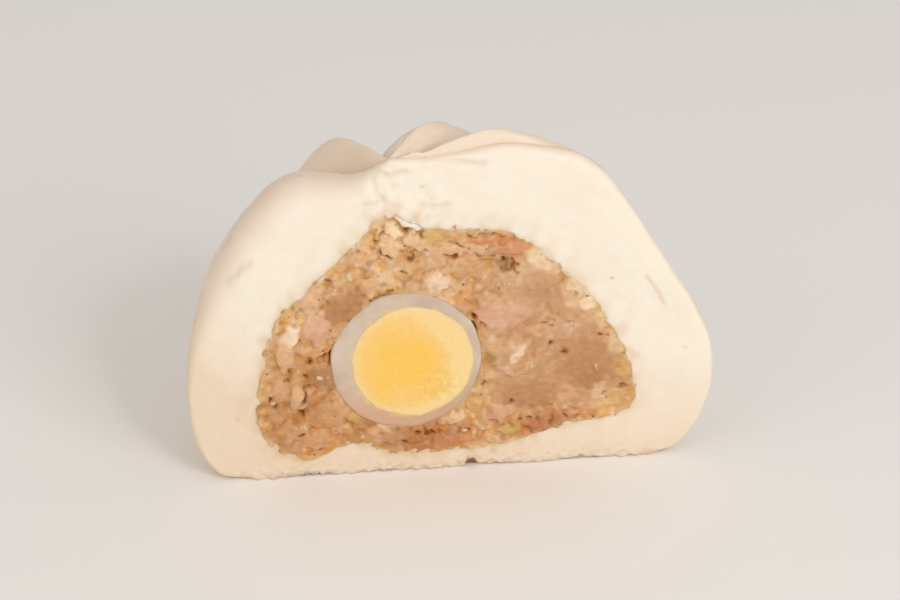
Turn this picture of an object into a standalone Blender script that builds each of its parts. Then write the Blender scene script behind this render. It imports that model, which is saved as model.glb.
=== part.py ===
# Half of a steamed banh bao: pleated white dough round a minced pork filling,
# with half a boiled quail egg in it. The knife cut faces -Y and the bun stands on its flat base.
# Run it with: blender --background --python part.py

import math

import bmesh
import bpy
import numpy as np

MM = 0.001

# The bun's body, as its profile to the right, to the back and to the left of the closure: how
# far out and how high each point lies, in millimetres, from the flat base up to the closure.
RIGHT_PROFILE = (
    (36.5, 0.0), (40.9, 1.5), (44.9, 7.5), (46.5, 15.0), (46.1, 21.0), (43.9, 27.4), (41.0, 32.9),
    (39.2, 35.9), (35.1, 43.3), (30.8, 51.0), (28.6, 54.6), (25.8, 57.4), (22.8, 59.0), (15.5, 60.7),
    (10.1, 60.2), (5.2, 59.9), (0.0, 60.4),
)
BACK_PROFILE = (
    (33.0, 0.0), (37.5, 1.5), (41.5, 7.5), (43.0, 15.0), (42.4, 24.0), (40.0, 33.0), (36.2, 42.0),
    (31.0, 50.2), (25.0, 55.6), (18.0, 59.4), (11.0, 61.3), (5.0, 61.2), (0.0, 60.4),
)
LEFT_PROFILE = (
    (34.0, 0.0), (39.6, 1.5), (43.5, 8.5), (44.3, 17.5), (42.9, 27.0), (40.5, 34.0), (38.3, 39.2),
    (36.0, 43.4), (33.3, 47.0), (30.7, 50.0), (28.0, 52.4), (25.4, 53.9), (21.8, 54.9), (17.0, 54.9),
    (11.1, 55.2), (6.4, 57.0), (2.5, 59.2), (0.0, 60.4),
)
PROFILES = (RIGHT_PROFILE, BACK_PROFILE, LEFT_PROFILE)
BUN_HEIGHT = 62.4 * MM
WIDEST_HEIGHT = 15.0 * MM

# The closure lies left of the bun's middle, in a shallow dimple.
CLOSURE_SHIFT = 9.5 * MM
DIMPLE_DEPTH = 1.0 * MM
DIMPLE_WIDTH = 0.17

# The pleats: a valley between each two lobes, at these angles round the closure. Each
# valley starts this far up the dome. The lobe after it stands this far out, its crest lies
# nearer to this valley where the skew is less than 1, and it is the more peaked the lower
# its roundness.
VALLEY_ANGLES = (-20.0, 50.0, 111.0, 147.0, 213.0)
VALLEY_FOOT = (0.42, 0.30, 0.22, 0.36, 0.48)
LOBE_SWELL = (2.6 * MM, 0.9 * MM, -0.2 * MM, 0.0)
LOBE_SKEW = (1.0, 0.62, 0.95, 1.0)
VALLEY_DEPTH = 6.2 * MM
LOBE_ROUNDNESS = (1.8, 1.25, 1.35, 2.2)
PLEAT_TWIST = math.radians(16)
UNEVEN_SKIN = 0.45 * MM

# The knife passes behind the bun's middle, further behind it on the right than on the
# left, and through its closure. The soft edge of the cut is rounded, most on the upper left.
CUT_BEHIND_MIDDLE = 10.0 * MM
CUT_SLANT = 7.0 * MM
CUT_EDGE = 0.9 * MM
LEFT_ROUNDING = 4.0 * MM
EDGE_STEPS = 4

# The filling's outline on the cut, in millimetres right of the bun's centre and above its base.
FILLING_OUTLINE = (
    (32.6, 14.8), (30.2, 8.8), (20.5, 7.4), (9.5, 4.4), (-1.0, 3.9), (-9.0, 4.0), (-16.2, 6.4),
    (-23.8, 3.6), (-31.2, 8.8), (-31.4, 21.0), (-27.2, 32.0), (-18.4, 40.2), (-10.4, 48.8),
    (-2.5, 46.3), (10.0, 44.2), (18.6, 38.2), (27.4, 27.4),
)
FILLING_CENTRE = (-2.0 * MM, 20.0 * MM)
FILLING_DEPTH = 25.0 * MM

# The mince on the cut: rounded lumps that stand out of a face just behind the cut.
CRAG_COUNT = 230
CRAG_RADII = (1.6 * MM, 3.4 * MM)
CRAG_HEIGHT = 0.85 * MM
CRAG_FLOOR = 0.35 * MM
CRAG_SEED = 7

# The quail egg, cut across its short axis, and its yolk.
EGG_CENTRE = (-6.8 * MM, 21.4 * MM)
EGG_RADIUS = 13.0 * MM
EGG_DEPTH = 15.5 * MM
YOLK_CENTRE = (-5.7 * MM, 21.2 * MM)
YOLK_RADIUS = 10.2 * MM
YOLK_DEPTH = 10.6 * MM

# Every piece keeps this clear of the one round it.
CLEARANCE = 0.3 * MM
CUTTER_REACH = 8.0 * MM

# How finely each piece is faceted.
SKIN_COLUMNS = 66
SKIN_ROWS = 34
FILLING_SIDES = 76
FILLING_RINGS = 17
EGG_SIDES = 44

DOUGH_COLOUR = (0.93, 0.86, 0.74, 1.0)
FILLING_COLOUR = (0.56, 0.35, 0.20, 1.0)
EGG_WHITE_COLOUR = (0.66, 0.60, 0.54, 1.0)
YOLK_COLOUR = (0.95, 0.62, 0.17, 1.0)


def clear_scene():
    for old in list(bpy.data.objects):
        bpy.data.objects.remove(old)


def material(name, colour, roughness):
    made = bpy.data.materials.new(name)
    made.use_nodes = True
    shader = made.node_tree.nodes["Principled BSDF"]
    shader.inputs["Base Color"].default_value = colour
    shader.inputs["Roughness"].default_value = roughness
    shader.inputs["Metallic"].default_value = 0.0
    return made


def smoothstep(value, low, high):
    t = np.clip((value - low) / (high - low), 0.0, 1.0)
    return t * t * (3.0 - 2.0 * t)


def curve_through(corners, pieces):
    """A smooth open curve through the corners, each stretch in that many pieces."""
    corners = np.array(corners)
    ends = np.vstack([2 * corners[0] - corners[1], corners, 2 * corners[-1] - corners[-2]])
    points = []
    for before, start, end, after in zip(ends[:-3], ends[1:-2], ends[2:-1], ends[3:]):
        for t in np.linspace(0.0, 1.0, pieces, endpoint=False):
            bend = 2 * start + (end - before) * t + (2 * before - 5 * start + 4 * end - after) * t**2
            points.append(0.5 * (bend + (3 * start - before - 3 * end + after) * t**3))
    return np.array(points + [corners[-1]])


def evenly(curve, rows):
    """The curve again, as rows + 1 points an even distance apart."""
    length = np.concatenate([[0.0], np.cumsum(np.hypot(*np.diff(curve, axis=0).T))])
    even = np.linspace(0.0, length[-1], rows + 1)
    return np.stack([np.interp(even, length, curve[:, 0]), np.interp(even, length, curve[:, 1])])


def meridian(rows, angle):
    """The dome's profile at each angle: its radius, its height, and how far up the dome each
    point lies, from 0 at the widest ring to 1 at the top."""
    right, back, left = (evenly(curve_through(profile, 20), rows) * MM for profile in PROFILES)
    ends = np.where(np.cos(angle) > 0.0, right[..., None], left[..., None])
    part = np.cos(angle) ** 2
    radius, height = ends * part + back[..., None] * (1.0 - part)
    rise = np.clip((height - WIDEST_HEIGHT) / (BUN_HEIGHT - WIDEST_HEIGHT), 0.0, 1.0)
    return radius, height, rise


def column_angles(columns):
    """Angles round the closure for the skin's columns, with one column in each valley."""
    stops = [0.0] + [a for a in VALLEY_ANGLES if 0.0 < a < 180.0] + [180.0]
    parts = []
    for start, end in zip(stops[:-1], stops[1:]):
        steps = round(columns * (end - start) / 180.0)
        parts.append(np.linspace(start, end, steps, endpoint=False))
    return np.radians(np.concatenate(parts + [[180.0]]))


def pleat_depth(angle, rise, share):
    """How far the skin lies inside the lobes' crests. share is the radius over the widest one."""
    turned = np.broadcast_to(np.degrees(angle), rise.shape)
    valleys = np.array(VALLEY_ANGLES)
    left = np.clip(np.searchsorted(valleys, turned, side="right") - 1, 0, len(valleys) - 2)
    across = (turned - valleys[left]) / (valleys[left + 1] - valleys[left])
    across = np.clip(across, 0.0, 1.0)
    groove = np.abs(2.0 * across ** np.array(LOBE_SKEW)[left] - 1.0) ** np.array(LOBE_ROUNDNESS)[left]
    feet = np.array(VALLEY_FOOT)
    foot = feet[left] * (1.0 - across) + feet[left + 1] * across
    strength = smoothstep(rise, foot, 0.93) * smoothstep(share, -0.12, 0.42)
    swell = np.array(LOBE_SWELL)[left] * (1.0 - groove) * smoothstep(rise, 0.55, 1.0)
    swell = swell * smoothstep(share, 0.02, 0.3) * smoothstep(share, 0.62, 0.3)
    off_cut = smoothstep(np.sin(angle), 0.0, 0.4)
    return (VALLEY_DEPTH * groove * strength - swell) * off_cut


def uneven(angle, height):
    """The slow hand-made unevenness of the skin."""
    rise = height / BUN_HEIGHT
    waves = np.sin(2.0 * angle + 3.1 * rise) + 0.6 * np.sin(5.0 * angle - 4.0 * rise + 1.3)
    waves = waves + 0.5 * np.sin(3.0 * angle + 9.0 * rise + 0.4)
    return UNEVEN_SKIN * 0.5 * waves


def skin_points(columns, rows):
    """The skin as a grid of points, from the base's rim (first row) up to the closure."""
    angle = column_angles(columns)
    radius, height, rise = meridian(rows, angle)
    slope_r = np.gradient(radius, axis=0)
    slope_z = np.gradient(height, axis=0)
    steep = np.hypot(slope_r, slope_z)
    out_r = slope_z / steep
    out_z = -slope_r / steep
    angle = angle[None, :]
    share = radius / radius.max(axis=0)
    depth = pleat_depth(angle, rise, share)
    wave = uneven(angle, height) * smoothstep(height, 0.0, 12.0 * MM) * smoothstep(share, 0.1, 0.5)
    depth = depth - wave
    away = np.clip(radius - depth * out_r, 0.0, None) * (share > 0.0)
    dimple = DIMPLE_DEPTH * np.exp(-((share / DIMPLE_WIDTH) ** 2))
    lean = -CLOSURE_SHIFT * (1.0 - share) ** 2 * smoothstep(rise, 0.0, 0.3)
    turned = angle + PLEAT_TWIST * (1.0 - share) ** 2 * np.sin(angle)
    behind = (CUT_BEHIND_MIDDLE + CUT_SLANT * np.cos(angle)) * np.sqrt(share)
    x = lean + away * np.cos(turned)
    leftward = np.clip(-np.cos(angle), 0.0, 1.0) ** 2
    soft = LEFT_ROUNDING * leftward * smoothstep(rise, 0.05, 0.45) * smoothstep(share, 0.0, 0.45)
    y = CUT_EDGE + soft + np.hypot(away * np.sin(turned), behind) - behind
    z = height - depth * out_z - dimple
    return np.stack([x, y, z], axis=-1)


def rounded_edge(edge, steps):
    """Loops that carry the skin's edge round onto the flat cut, as a quarter circle whose
    radius at each point is how far that point lies behind the cut. The direction is blurred
    a little, so that the loops keep clear of each other at the closure."""
    outline = edge[:, [0, 2]]
    along = np.gradient(outline, axis=0)
    inward = np.stack([-along[:, 1], along[:, 0]], axis=-1)
    softly = np.pad(inward, ((1, 1), (0, 0)), mode="edge")
    inward = softly[:-2] + softly[1:-1] + softly[2:]
    inward = inward / np.linalg.norm(inward, axis=1, keepdims=True)
    inward[0] = (-1.0, 0.0)
    inward[-1] = (1.0, 0.0)
    behind = edge[:, 1]
    loops = []
    for step in range(1, steps + 1):
        lean = step / steps * math.pi / 2
        moved = outline + (behind * (1.0 - math.cos(lean)))[:, None] * inward
        loops.append(np.stack([moved[:, 0], behind * (1.0 - math.sin(lean)), moved[:, 1]], axis=-1))
    loops[-1][:, 1] = 0.0
    return loops


def mesh_object(name, points, faces, finish):
    mesh = bpy.data.meshes.new(name)
    mesh.from_pydata([tuple(p) for p in points], [], faces)
    shape = bmesh.new()
    shape.from_mesh(mesh)
    bmesh.ops.recalc_face_normals(shape, faces=shape.faces)
    shape.to_mesh(mesh)
    shape.free()
    mesh.shade_smooth()
    mesh.set_sharp_from_angle(angle=math.radians(50))
    made = bpy.data.objects.new(name, mesh)
    bpy.context.collection.objects.link(made)
    if finish is not None:
        mesh.materials.append(finish)
    return made


def dough_half(finish):
    """The dough as one closed half bun, still without the hollow that holds the filling."""
    grid = skin_points(SKIN_COLUMNS, SKIN_ROWS)
    rows, columns = grid.shape[0] - 1, grid.shape[1]
    ring = grid[:rows].reshape(-1, 3)
    points = [tuple(p) for p in ring] + [tuple(grid[rows, 0])]
    closure = len(ring)

    def at(row, column):
        return closure if row == rows else row * columns + column

    faces = []
    for row in range(rows):
        for column in range(columns - 1):
            corners = [at(row, column), at(row, column + 1), at(row + 1, column + 1), at(row + 1, column)]
            faces.append(list(dict.fromkeys(corners)))

    # The cut's rim runs from the right foot over the top to the left foot.
    rim = [at(row, 0) for row in range(rows + 1)] + [at(row, columns - 1) for row in range(rows - 1, -1, -1)]
    base = [at(0, column) for column in range(columns)]
    outer = rim
    for loop in rounded_edge(np.array([points[i] for i in rim]), EDGE_STEPS):
        inside = list(range(len(points), len(points) + len(loop)))
        points += [tuple(p) for p in loop]
        for i in range(len(rim) - 1):
            faces.append([outer[i], outer[i + 1], inside[i + 1], inside[i]])
        base = [inside[0]] + base + [inside[-1]]
        outer = inside
    faces.append(outer)
    faces.append(base)
    return mesh_object("dough", points, faces, finish)


def filling_reach():
    """The filling's outline as a radius round its centre, for any angle."""
    corners = np.array(FILLING_OUTLINE) * MM - np.array(FILLING_CENTRE)
    around = np.vstack([corners[-2:], corners, corners[:2]])
    dense = curve_through(around, 24)[48:-48]
    angle = np.arctan2(dense[:, 1], dense[:, 0])
    order = np.argsort(angle)
    radius = np.hypot(dense[:, 0], dense[:, 1])[order]

    def reach(turn):
        wrapped = np.arctan2(np.sin(turn), np.cos(turn))
        return np.interp(wrapped, angle[order], radius, period=2 * math.pi)

    return reach


def round_reach(radius, wobble):
    """A nearly round outline: wobble is how far it departs from a circle."""

    def reach(turn):
        waves = np.sin(2 * turn + 0.6) + 0.7 * np.sin(3 * turn + 2.4) + 0.4 * np.sin(5 * turn)
        return radius + wobble * waves

    return reach


def craggy_face():
    """The relief of the minced meat: rounded lumps of uneven size, with crevices between them."""
    draw = np.random.default_rng(CRAG_SEED)
    outline = np.array(FILLING_OUTLINE) * MM
    places = draw.uniform(outline.min(axis=0), outline.max(axis=0), (CRAG_COUNT, 2))
    heights = draw.uniform(0.25, 1.0, CRAG_COUNT) * CRAG_HEIGHT
    sizes = draw.uniform(*CRAG_RADII, CRAG_COUNT)

    def relief(u, v):
        away = np.hypot(u[..., None] - places[:, 0], v[..., None] - places[:, 1])
        domes = heights * np.sqrt(np.clip(1.0 - (away / sizes) ** 2, 0.0, 1.0))
        return CRAG_FLOOR - domes.max(axis=-1)

    return relief


def lump(name, centre, reach, depth, sides, rings, finish, face=None, cutter=False):
    """A body with a flat or craggy face on the cut and a rounded back behind it. A cutter
    is grown by the clearance and runs out through the cut."""
    grow = CLEARANCE if cutter else 0.0
    turn = np.linspace(0.0, 2 * math.pi, sides, endpoint=False)
    radius = reach(turn) + grow
    loops = []
    if cutter:
        loops.append((radius, np.full(sides, -CUTTER_REACH)))
        loops.append((radius, np.zeros(sides)))
    else:
        for share in np.linspace(0.0, 1.0, rings + 1)[1:]:
            u = centre[0] + share * radius * np.cos(turn)
            v = centre[1] + share * radius * np.sin(turn)
            height = np.zeros(sides) if face is None else face(u, v)
            loops.append((share * radius, height))
    back_rings = max(5, sides // 8)
    edge = loops[-1][1]
    for step in range(1, back_rings):
        lean = step / back_rings * math.pi / 2
        flatten = 1.0 - math.sin(lean)
        loops.append((radius * math.cos(lean) ** 0.85, (depth + grow) * math.sin(lean) + edge * flatten))
    front_y = -CUTTER_REACH if cutter else 0.0
    if face is not None:
        front_y = float(face(np.array([centre[0]]), np.array([centre[1]]))[0])
    points = [(centre[0], front_y, centre[1])]
    for size, y in loops:
        points += list(zip(centre[0] + size * np.cos(turn), y, centre[1] + size * np.sin(turn)))
    points.append((centre[0], depth + grow, centre[1]))
    last = len(points) - 1

    def at(loop, side):
        return 1 + loop * sides + side % sides

    faces = [[0, at(0, i), at(0, i + 1)] for i in range(sides)]
    for loop in range(len(loops) - 1):
        for i in range(sides):
            faces.append([at(loop, i), at(loop + 1, i), at(loop + 1, i + 1), at(loop, i + 1)])
    faces += [[at(len(loops) - 1, i), last, at(len(loops) - 1, i + 1)] for i in range(sides)]
    made = mesh_object(name, points, faces, finish)
    if cutter:
        made.hide_render = True
        made.display_type = "WIRE"
    return made


def cut_away(piece, cutter):
    hollow = piece.modifiers.new(f"hollow for {cutter.name}", "BOOLEAN")
    hollow.operation = "DIFFERENCE"
    hollow.solver = "EXACT"
    hollow.object = cutter


def centre_on_base(pieces):
    """Moves everything so that the origin is under the middle of the whole bun's box."""
    grid = skin_points(SKIN_COLUMNS, SKIN_ROWS).reshape(-1, 3)
    low, high = grid.min(axis=0), grid.max(axis=0)
    middle_x = (low[0] + high[0]) / 2
    front = min(0.0, min(v.co.y for v in bpy.data.objects["filling"].data.vertices))
    middle_y = (front + high[1]) / 2
    for piece in pieces:
        piece.location = (-middle_x, -middle_y, 0.0)


def build():
    clear_scene()
    dough_finish = material("steamed dough", DOUGH_COLOUR, 0.55)
    filling_finish = material("minced pork", FILLING_COLOUR, 0.45)
    white_finish = material("egg white", EGG_WHITE_COLOUR, 0.25)
    yolk_finish = material("egg yolk", YOLK_COLOUR, 0.6)

    filling_shape = filling_reach()
    egg_shape = round_reach(EGG_RADIUS, 0.15 * MM)
    yolk_shape = round_reach(YOLK_RADIUS, 0.22 * MM)

    dough = dough_half(dough_finish)
    filling = lump(
        "filling", FILLING_CENTRE, filling_shape, FILLING_DEPTH, FILLING_SIDES, FILLING_RINGS,
        filling_finish, face=craggy_face(),
    )
    egg_white = lump("egg_white", EGG_CENTRE, egg_shape, EGG_DEPTH, EGG_SIDES, 3, white_finish)
    yolk = lump("egg_yolk", YOLK_CENTRE, yolk_shape, YOLK_DEPTH, EGG_SIDES, 3, yolk_finish)

    filling_room = lump(
        "filling room", FILLING_CENTRE, filling_shape, FILLING_DEPTH, FILLING_SIDES, 1, None, cutter=True
    )
    egg_room = lump("egg room", EGG_CENTRE, egg_shape, EGG_DEPTH, EGG_SIDES, 1, None, cutter=True)
    yolk_room = lump("yolk room", YOLK_CENTRE, yolk_shape, YOLK_DEPTH, EGG_SIDES, 1, None, cutter=True)

    cut_away(dough, filling_room)
    cut_away(filling, egg_room)
    cut_away(egg_white, yolk_room)
    centre_on_base([dough, filling, egg_white, yolk, filling_room, egg_room, yolk_room])


build()
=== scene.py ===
# %% [markdown]
# # Half a steamed banh bao
# A banh bao is a soft white bun, pleated shut at the top round a filling of minced pork with a
# quail egg in it. This one has been cut through, so that the filling shows. The lesson dresses a
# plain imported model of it: a dough shell, a block of filling, an egg white and a yolk. The packed
# model gives the places and the sizes, and each plain piece is replaced by a fine one.

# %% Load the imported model
import math

import bmesh
import bpy
import numpy as np
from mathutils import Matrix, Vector


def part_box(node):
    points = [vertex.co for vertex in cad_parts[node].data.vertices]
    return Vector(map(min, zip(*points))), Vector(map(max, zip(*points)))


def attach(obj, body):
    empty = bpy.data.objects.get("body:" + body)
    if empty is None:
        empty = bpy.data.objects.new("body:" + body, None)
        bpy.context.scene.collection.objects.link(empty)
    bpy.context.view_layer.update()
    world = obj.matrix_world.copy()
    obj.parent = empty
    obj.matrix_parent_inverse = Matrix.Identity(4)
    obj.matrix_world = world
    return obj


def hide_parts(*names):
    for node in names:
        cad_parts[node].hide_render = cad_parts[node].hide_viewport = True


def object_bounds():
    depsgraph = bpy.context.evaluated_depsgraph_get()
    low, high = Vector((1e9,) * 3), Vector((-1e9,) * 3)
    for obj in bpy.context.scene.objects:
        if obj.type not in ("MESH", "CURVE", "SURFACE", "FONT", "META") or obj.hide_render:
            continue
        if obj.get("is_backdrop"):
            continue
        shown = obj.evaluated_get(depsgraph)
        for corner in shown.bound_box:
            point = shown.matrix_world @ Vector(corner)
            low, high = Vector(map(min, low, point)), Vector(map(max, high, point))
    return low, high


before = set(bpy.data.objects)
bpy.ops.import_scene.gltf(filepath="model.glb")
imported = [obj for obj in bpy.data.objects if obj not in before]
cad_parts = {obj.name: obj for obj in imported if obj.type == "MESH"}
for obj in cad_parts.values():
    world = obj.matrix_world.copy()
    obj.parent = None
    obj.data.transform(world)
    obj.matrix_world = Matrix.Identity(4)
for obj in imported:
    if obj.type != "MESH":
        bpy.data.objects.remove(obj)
cad_low, cad_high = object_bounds()
print("packed pieces:", sorted(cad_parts))

# %% [markdown]
# ## Millimetres
# A bun is easiest to think about in millimetres. Everything is worked out in millimetres right of
# the bun's middle, behind the knife cut and above the base, and turned into metres at the end. The
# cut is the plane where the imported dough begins.

# %% The working measures
MM = 0.001
CUT_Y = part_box("dough")[0].y
PACKED_MIDDLE = (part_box("dough")[0].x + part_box("dough")[1].x) / 2


def smoothstep(value, low, high):
    t = np.clip((value - low) / (high - low), 0.0, 1.0)
    return t * t * (3.0 - 2.0 * t)


def tone(red, green, blue):
    """A colour as a screen shows it, from 0 to 255, turned into the light that Blender counts in."""
    value = np.array([red, green, blue]) / 255.0
    return np.where(value <= 0.04045, value / 12.92, ((value + 0.055) / 1.055) ** 2.4)


print(f"the cut lies {CUT_Y / MM:.2f} mm in front of the origin")

# %% [markdown]
# ## Unevenness
# Nothing in food is even. Two kinds of noise serve for nearly all of it. Ripples are a sum of sine
# waves in random directions, smooth as hand-shaped dough. Cells are the spaces round scattered
# points, each belonging to its nearest one, and they break a surface into lumps as mince is. Both
# are made with NumPy from a fixed seed, so the bun is the same each time.

# %% Ripples and cells
def ripples(points, size, seed, waves=20):
    """Smooth noise of about -1 to 1, whose waves are about size millimetres long."""
    draw = np.random.default_rng(seed)
    total = np.zeros(points.shape[:-1])
    for _ in range(waves):
        way = draw.normal(size=points.shape[-1])
        way = way / np.linalg.norm(way)
        length = size * draw.uniform(0.7, 1.6)
        total = total + np.sin(points @ way * (2.0 * math.pi / length) + draw.uniform(0.0, 2.0 * math.pi))
    return total / math.sqrt(waves)


def layered(points, layers, start=0.0):
    """Ripples on top of a start. Each layer: its height, its size in millimetres and its seed."""
    for height, size, seed in layers:
        start = start + height * ripples(points, size, seed)
    return start


def cells(points, centres):
    """How far each point is from its nearest centre and from the next, and which two those are."""
    nearest = np.empty((len(points), 2))
    which = np.empty((len(points), 2), dtype=int)
    for start in range(0, len(points), 4000):
        part = slice(start, start + 4000)
        away = np.linalg.norm(points[part, None, :] - centres[None, :, :], axis=-1)
        two = np.argpartition(away, 1, axis=1)[:, :2]
        distance = np.take_along_axis(away, two, axis=1)
        order = np.argsort(distance, axis=1)
        nearest[part] = np.take_along_axis(distance, order, axis=1)
        which[part] = np.take_along_axis(two, order, axis=1)
    return nearest[:, 0], nearest[:, 1], which[:, 0], which[:, 1]


def along_line(points, corners):
    """How far each point is from a line of straight stretches through the corners."""
    best = np.full(len(points), np.inf)
    for start, end in zip(np.array(corners)[:-1], np.array(corners)[1:]):
        step = end - start
        part = np.clip((points - start) @ step / (step @ step), 0.0, 1.0)
        best = np.minimum(best, np.linalg.norm(points - start - part[:, None] * step, axis=-1))
    return best


def close_to(distance, width):
    """1 at no distance, fading to nothing about two widths away."""
    return np.exp(-((distance / width) ** 2))


def blend(first, second, part):
    """A mix of two colours or lists of colours, where part says how much of the second."""
    part = np.reshape(part, (-1, 1))
    return first * (1.0 - part) + second * part


# %% [markdown]
# ## Curves
# The dome's profile and the filling's outline are each given by a few corners, with a smooth curve
# drawn through them. A Catmull-Rom curve passes through every corner, so a corner can be moved and
# the outline follows it. It is then divided evenly, which keeps the mesh's squares alike.

# %% Curves through corners
OUTLINE_PIECES = 40


def curve_through(corners, pieces):
    """A smooth open curve through the corners, each stretch in that many pieces."""
    corners = np.array(corners)
    ends = np.vstack([2 * corners[0] - corners[1], corners, 2 * corners[-1] - corners[-2]])
    points = []
    for before, start, end, after in zip(ends[:-3], ends[1:-2], ends[2:-1], ends[3:]):
        for t in np.linspace(0.0, 1.0, pieces, endpoint=False):
            bend = 2 * start + (end - before) * t + (2 * before - 5 * start + 4 * end - after) * t**2
            points.append(0.5 * (bend + (3 * start - before - 3 * end + after) * t**3))
    return np.array(points + [corners[-1]])


def way_of(turn):
    """The directions that belong to some angles."""
    return np.stack([np.cos(turn), np.sin(turn)], axis=-1)


def evenly(curve, rows):
    """The curve again, as rows + 1 points an even distance apart."""
    length = np.concatenate([[0.0], np.cumsum(np.hypot(*np.diff(curve, axis=0).T))])
    even = np.linspace(0.0, length[-1], rows + 1)
    return np.stack([np.interp(even, length, curve[:, 0]), np.interp(even, length, curve[:, 1])])


def outline_reach(corners, centre):
    """A closed outline through the corners, as its radius round a centre for any angle."""
    around = np.vstack([corners[-2:], corners, corners[:2]]) - np.array(centre)
    dense = curve_through(around, OUTLINE_PIECES)[2 * OUTLINE_PIECES:-2 * OUTLINE_PIECES]
    angle = np.arctan2(dense[:, 1], dense[:, 0])
    order = np.argsort(angle)
    radius = np.hypot(dense[:, 0], dense[:, 1])[order]

    def reach(turn):
        wrapped = np.arctan2(np.sin(turn), np.cos(turn))
        return np.interp(wrapped, angle[order], radius, period=2 * math.pi)

    return reach


# %% [markdown]
# ## The camera, the light and the floor
# The camera looks at the cut from a little to its left and well above, as someone does who has just
# cut the bun. A long lens keeps the far side from shrinking. One large soft light stands high on
# the front right, a weak one fills the left, and a pale sky lights the rest, so the cut is bright
# and the skin that turns away from it is in soft shade. A small bright light beside the large one
# gives the moist mince its glints.

# %% Camera
VIEW_AZIMUTH = math.radians(-7.5)
VIEW_ELEVATION = math.radians(27.0)
VIEW_DISTANCE = 0.63
PICTURE_WIDTH = 900
LENS_PIXELS = 3707.0
AIM = Vector((-0.0005, CUT_Y, 0.0326))

toward = Vector((
    math.sin(VIEW_AZIMUTH) * math.cos(VIEW_ELEVATION),
    -math.cos(VIEW_AZIMUTH) * math.cos(VIEW_ELEVATION),
    math.sin(VIEW_ELEVATION),
))
eye = bpy.data.cameras.new("camera")
eye.sensor_width = 36.0
eye.lens = LENS_PIXELS / PICTURE_WIDTH * eye.sensor_width
eye.clip_start = 0.01
camera = bpy.data.objects.new("camera", eye)
camera.location = AIM + toward * VIEW_DISTANCE
camera.rotation_euler = toward.to_track_quat("Z", "Y").to_euler()
bpy.context.scene.collection.objects.link(camera)
bpy.context.scene.camera = camera
print(f"the lens is {eye.lens:.0f} mm long")


# %% Light and floor
LIGHT_AIM = Vector((0.0, 0.0, 0.03))
FLOOR_HALF = 2.0
LAMP_WHITE = (1.0, 0.985, 0.975)


def soft_light(name, place, size, power, colour):
    lamp = bpy.data.lights.new(name, "AREA")
    lamp.size = size
    lamp.energy = power
    lamp.color = colour
    holder = bpy.data.objects.new(name, lamp)
    holder.location = place
    holder.rotation_euler = (Vector(place) - LIGHT_AIM).to_track_quat("Z", "Y").to_euler()
    bpy.context.scene.collection.objects.link(holder)


soft_light("key light", place=(0.38, -0.70, 0.42), size=0.45, power=2.25, colour=LAMP_WHITE)
soft_light("small bright light", place=(0.20, -0.62, 0.52), size=0.09, power=0.45, colour=LAMP_WHITE)
soft_light("fill light", place=(-0.60, -0.42, 0.34), size=0.50, power=0.6, colour=(1.0, 0.88, 0.76))

sky = bpy.data.worlds.new("pale sky")
sky.use_nodes = True
sky.node_tree.nodes["Background"].inputs["Color"].default_value = (1.0, 0.95, 0.90, 1.0)
sky.node_tree.nodes["Background"].inputs["Strength"].default_value = 0.585
bpy.context.scene.world = sky
bpy.context.scene.view_settings.view_transform = "Standard"

floor_mesh = bpy.data.meshes.new("floor")
corners = [(x * FLOOR_HALF, y * FLOOR_HALF, 0.0) for x, y in ((-1, -1), (1, -1), (1, 1), (-1, 1))]
floor_mesh.from_pydata(corners, [], [(0, 1, 2, 3)])
floor = bpy.data.objects.new("floor", floor_mesh)
bpy.context.scene.collection.objects.link(floor)
floor_paint = bpy.data.materials.new("pale floor")
floor_paint.use_nodes = True
floor_shader = floor_paint.node_tree.nodes["Principled BSDF"]
floor_shader.inputs["Base Color"].default_value = (0.96, 0.95, 0.935, 1.0)
floor_shader.inputs["Roughness"].default_value = 0.8
floor_mesh.materials.append(floor_paint)
floor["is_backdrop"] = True
print("one floor, three lights and a sky")

# %% [markdown]
# ## Making a piece
# Each piece is one closed mesh. Its points come in as millimetres right of the middle, behind the
# cut and above the base, and its object stays at the origin with its place in its mesh. Colours and
# masks that belong to the shape, such as where a lump of meat is paler, are kept as attributes on
# its points, and the material reads them.

# %% From millimetres to a piece
def make_piece(name, points, faces, finish, marks, middle):
    """A closed mesh object with its finish, and with marks, lists of one value or colour a point."""
    points = np.asarray(points, dtype=float)
    place = np.stack([
        (points[:, 0] - middle) * MM + PACKED_MIDDLE,
        points[:, 1] * MM + CUT_Y,
        points[:, 2] * MM,
    ], axis=-1)
    mesh = bpy.data.meshes.new(name)
    mesh.from_pydata(place.tolist(), [], faces)
    piece = bpy.data.objects.new(name, mesh)
    bpy.context.scene.collection.objects.link(piece)
    face_outward(piece)
    mesh.shade_smooth()
    for mark, values in marks.items():
        values = np.asarray(values, dtype=np.float32)
        if values.ndim == 1:
            mesh.attributes.new(mark, "FLOAT", "POINT").data.foreach_set("value", values)
        else:
            colours = np.ones((len(values), 4), dtype=np.float32)
            colours[:, :3] = values
            mesh.attributes.new(mark, "FLOAT_COLOR", "POINT").data.foreach_set("color", colours.ravel())
    mesh.materials.append(finish)
    return piece


def face_outward(piece):
    shape = bmesh.new()
    shape.from_mesh(piece.data)
    bmesh.ops.recalc_face_normals(shape, faces=shape.faces)
    open_edges = sum(not edge.is_manifold for edge in shape.edges)
    shape.to_mesh(piece.data)
    shape.free()
    print(f"{piece.name}: {len(piece.data.polygons)} faces, {open_edges} open edges")


# %% Loops of points and the faces between them
BOWL_ROUNDNESS = 0.85


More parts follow.
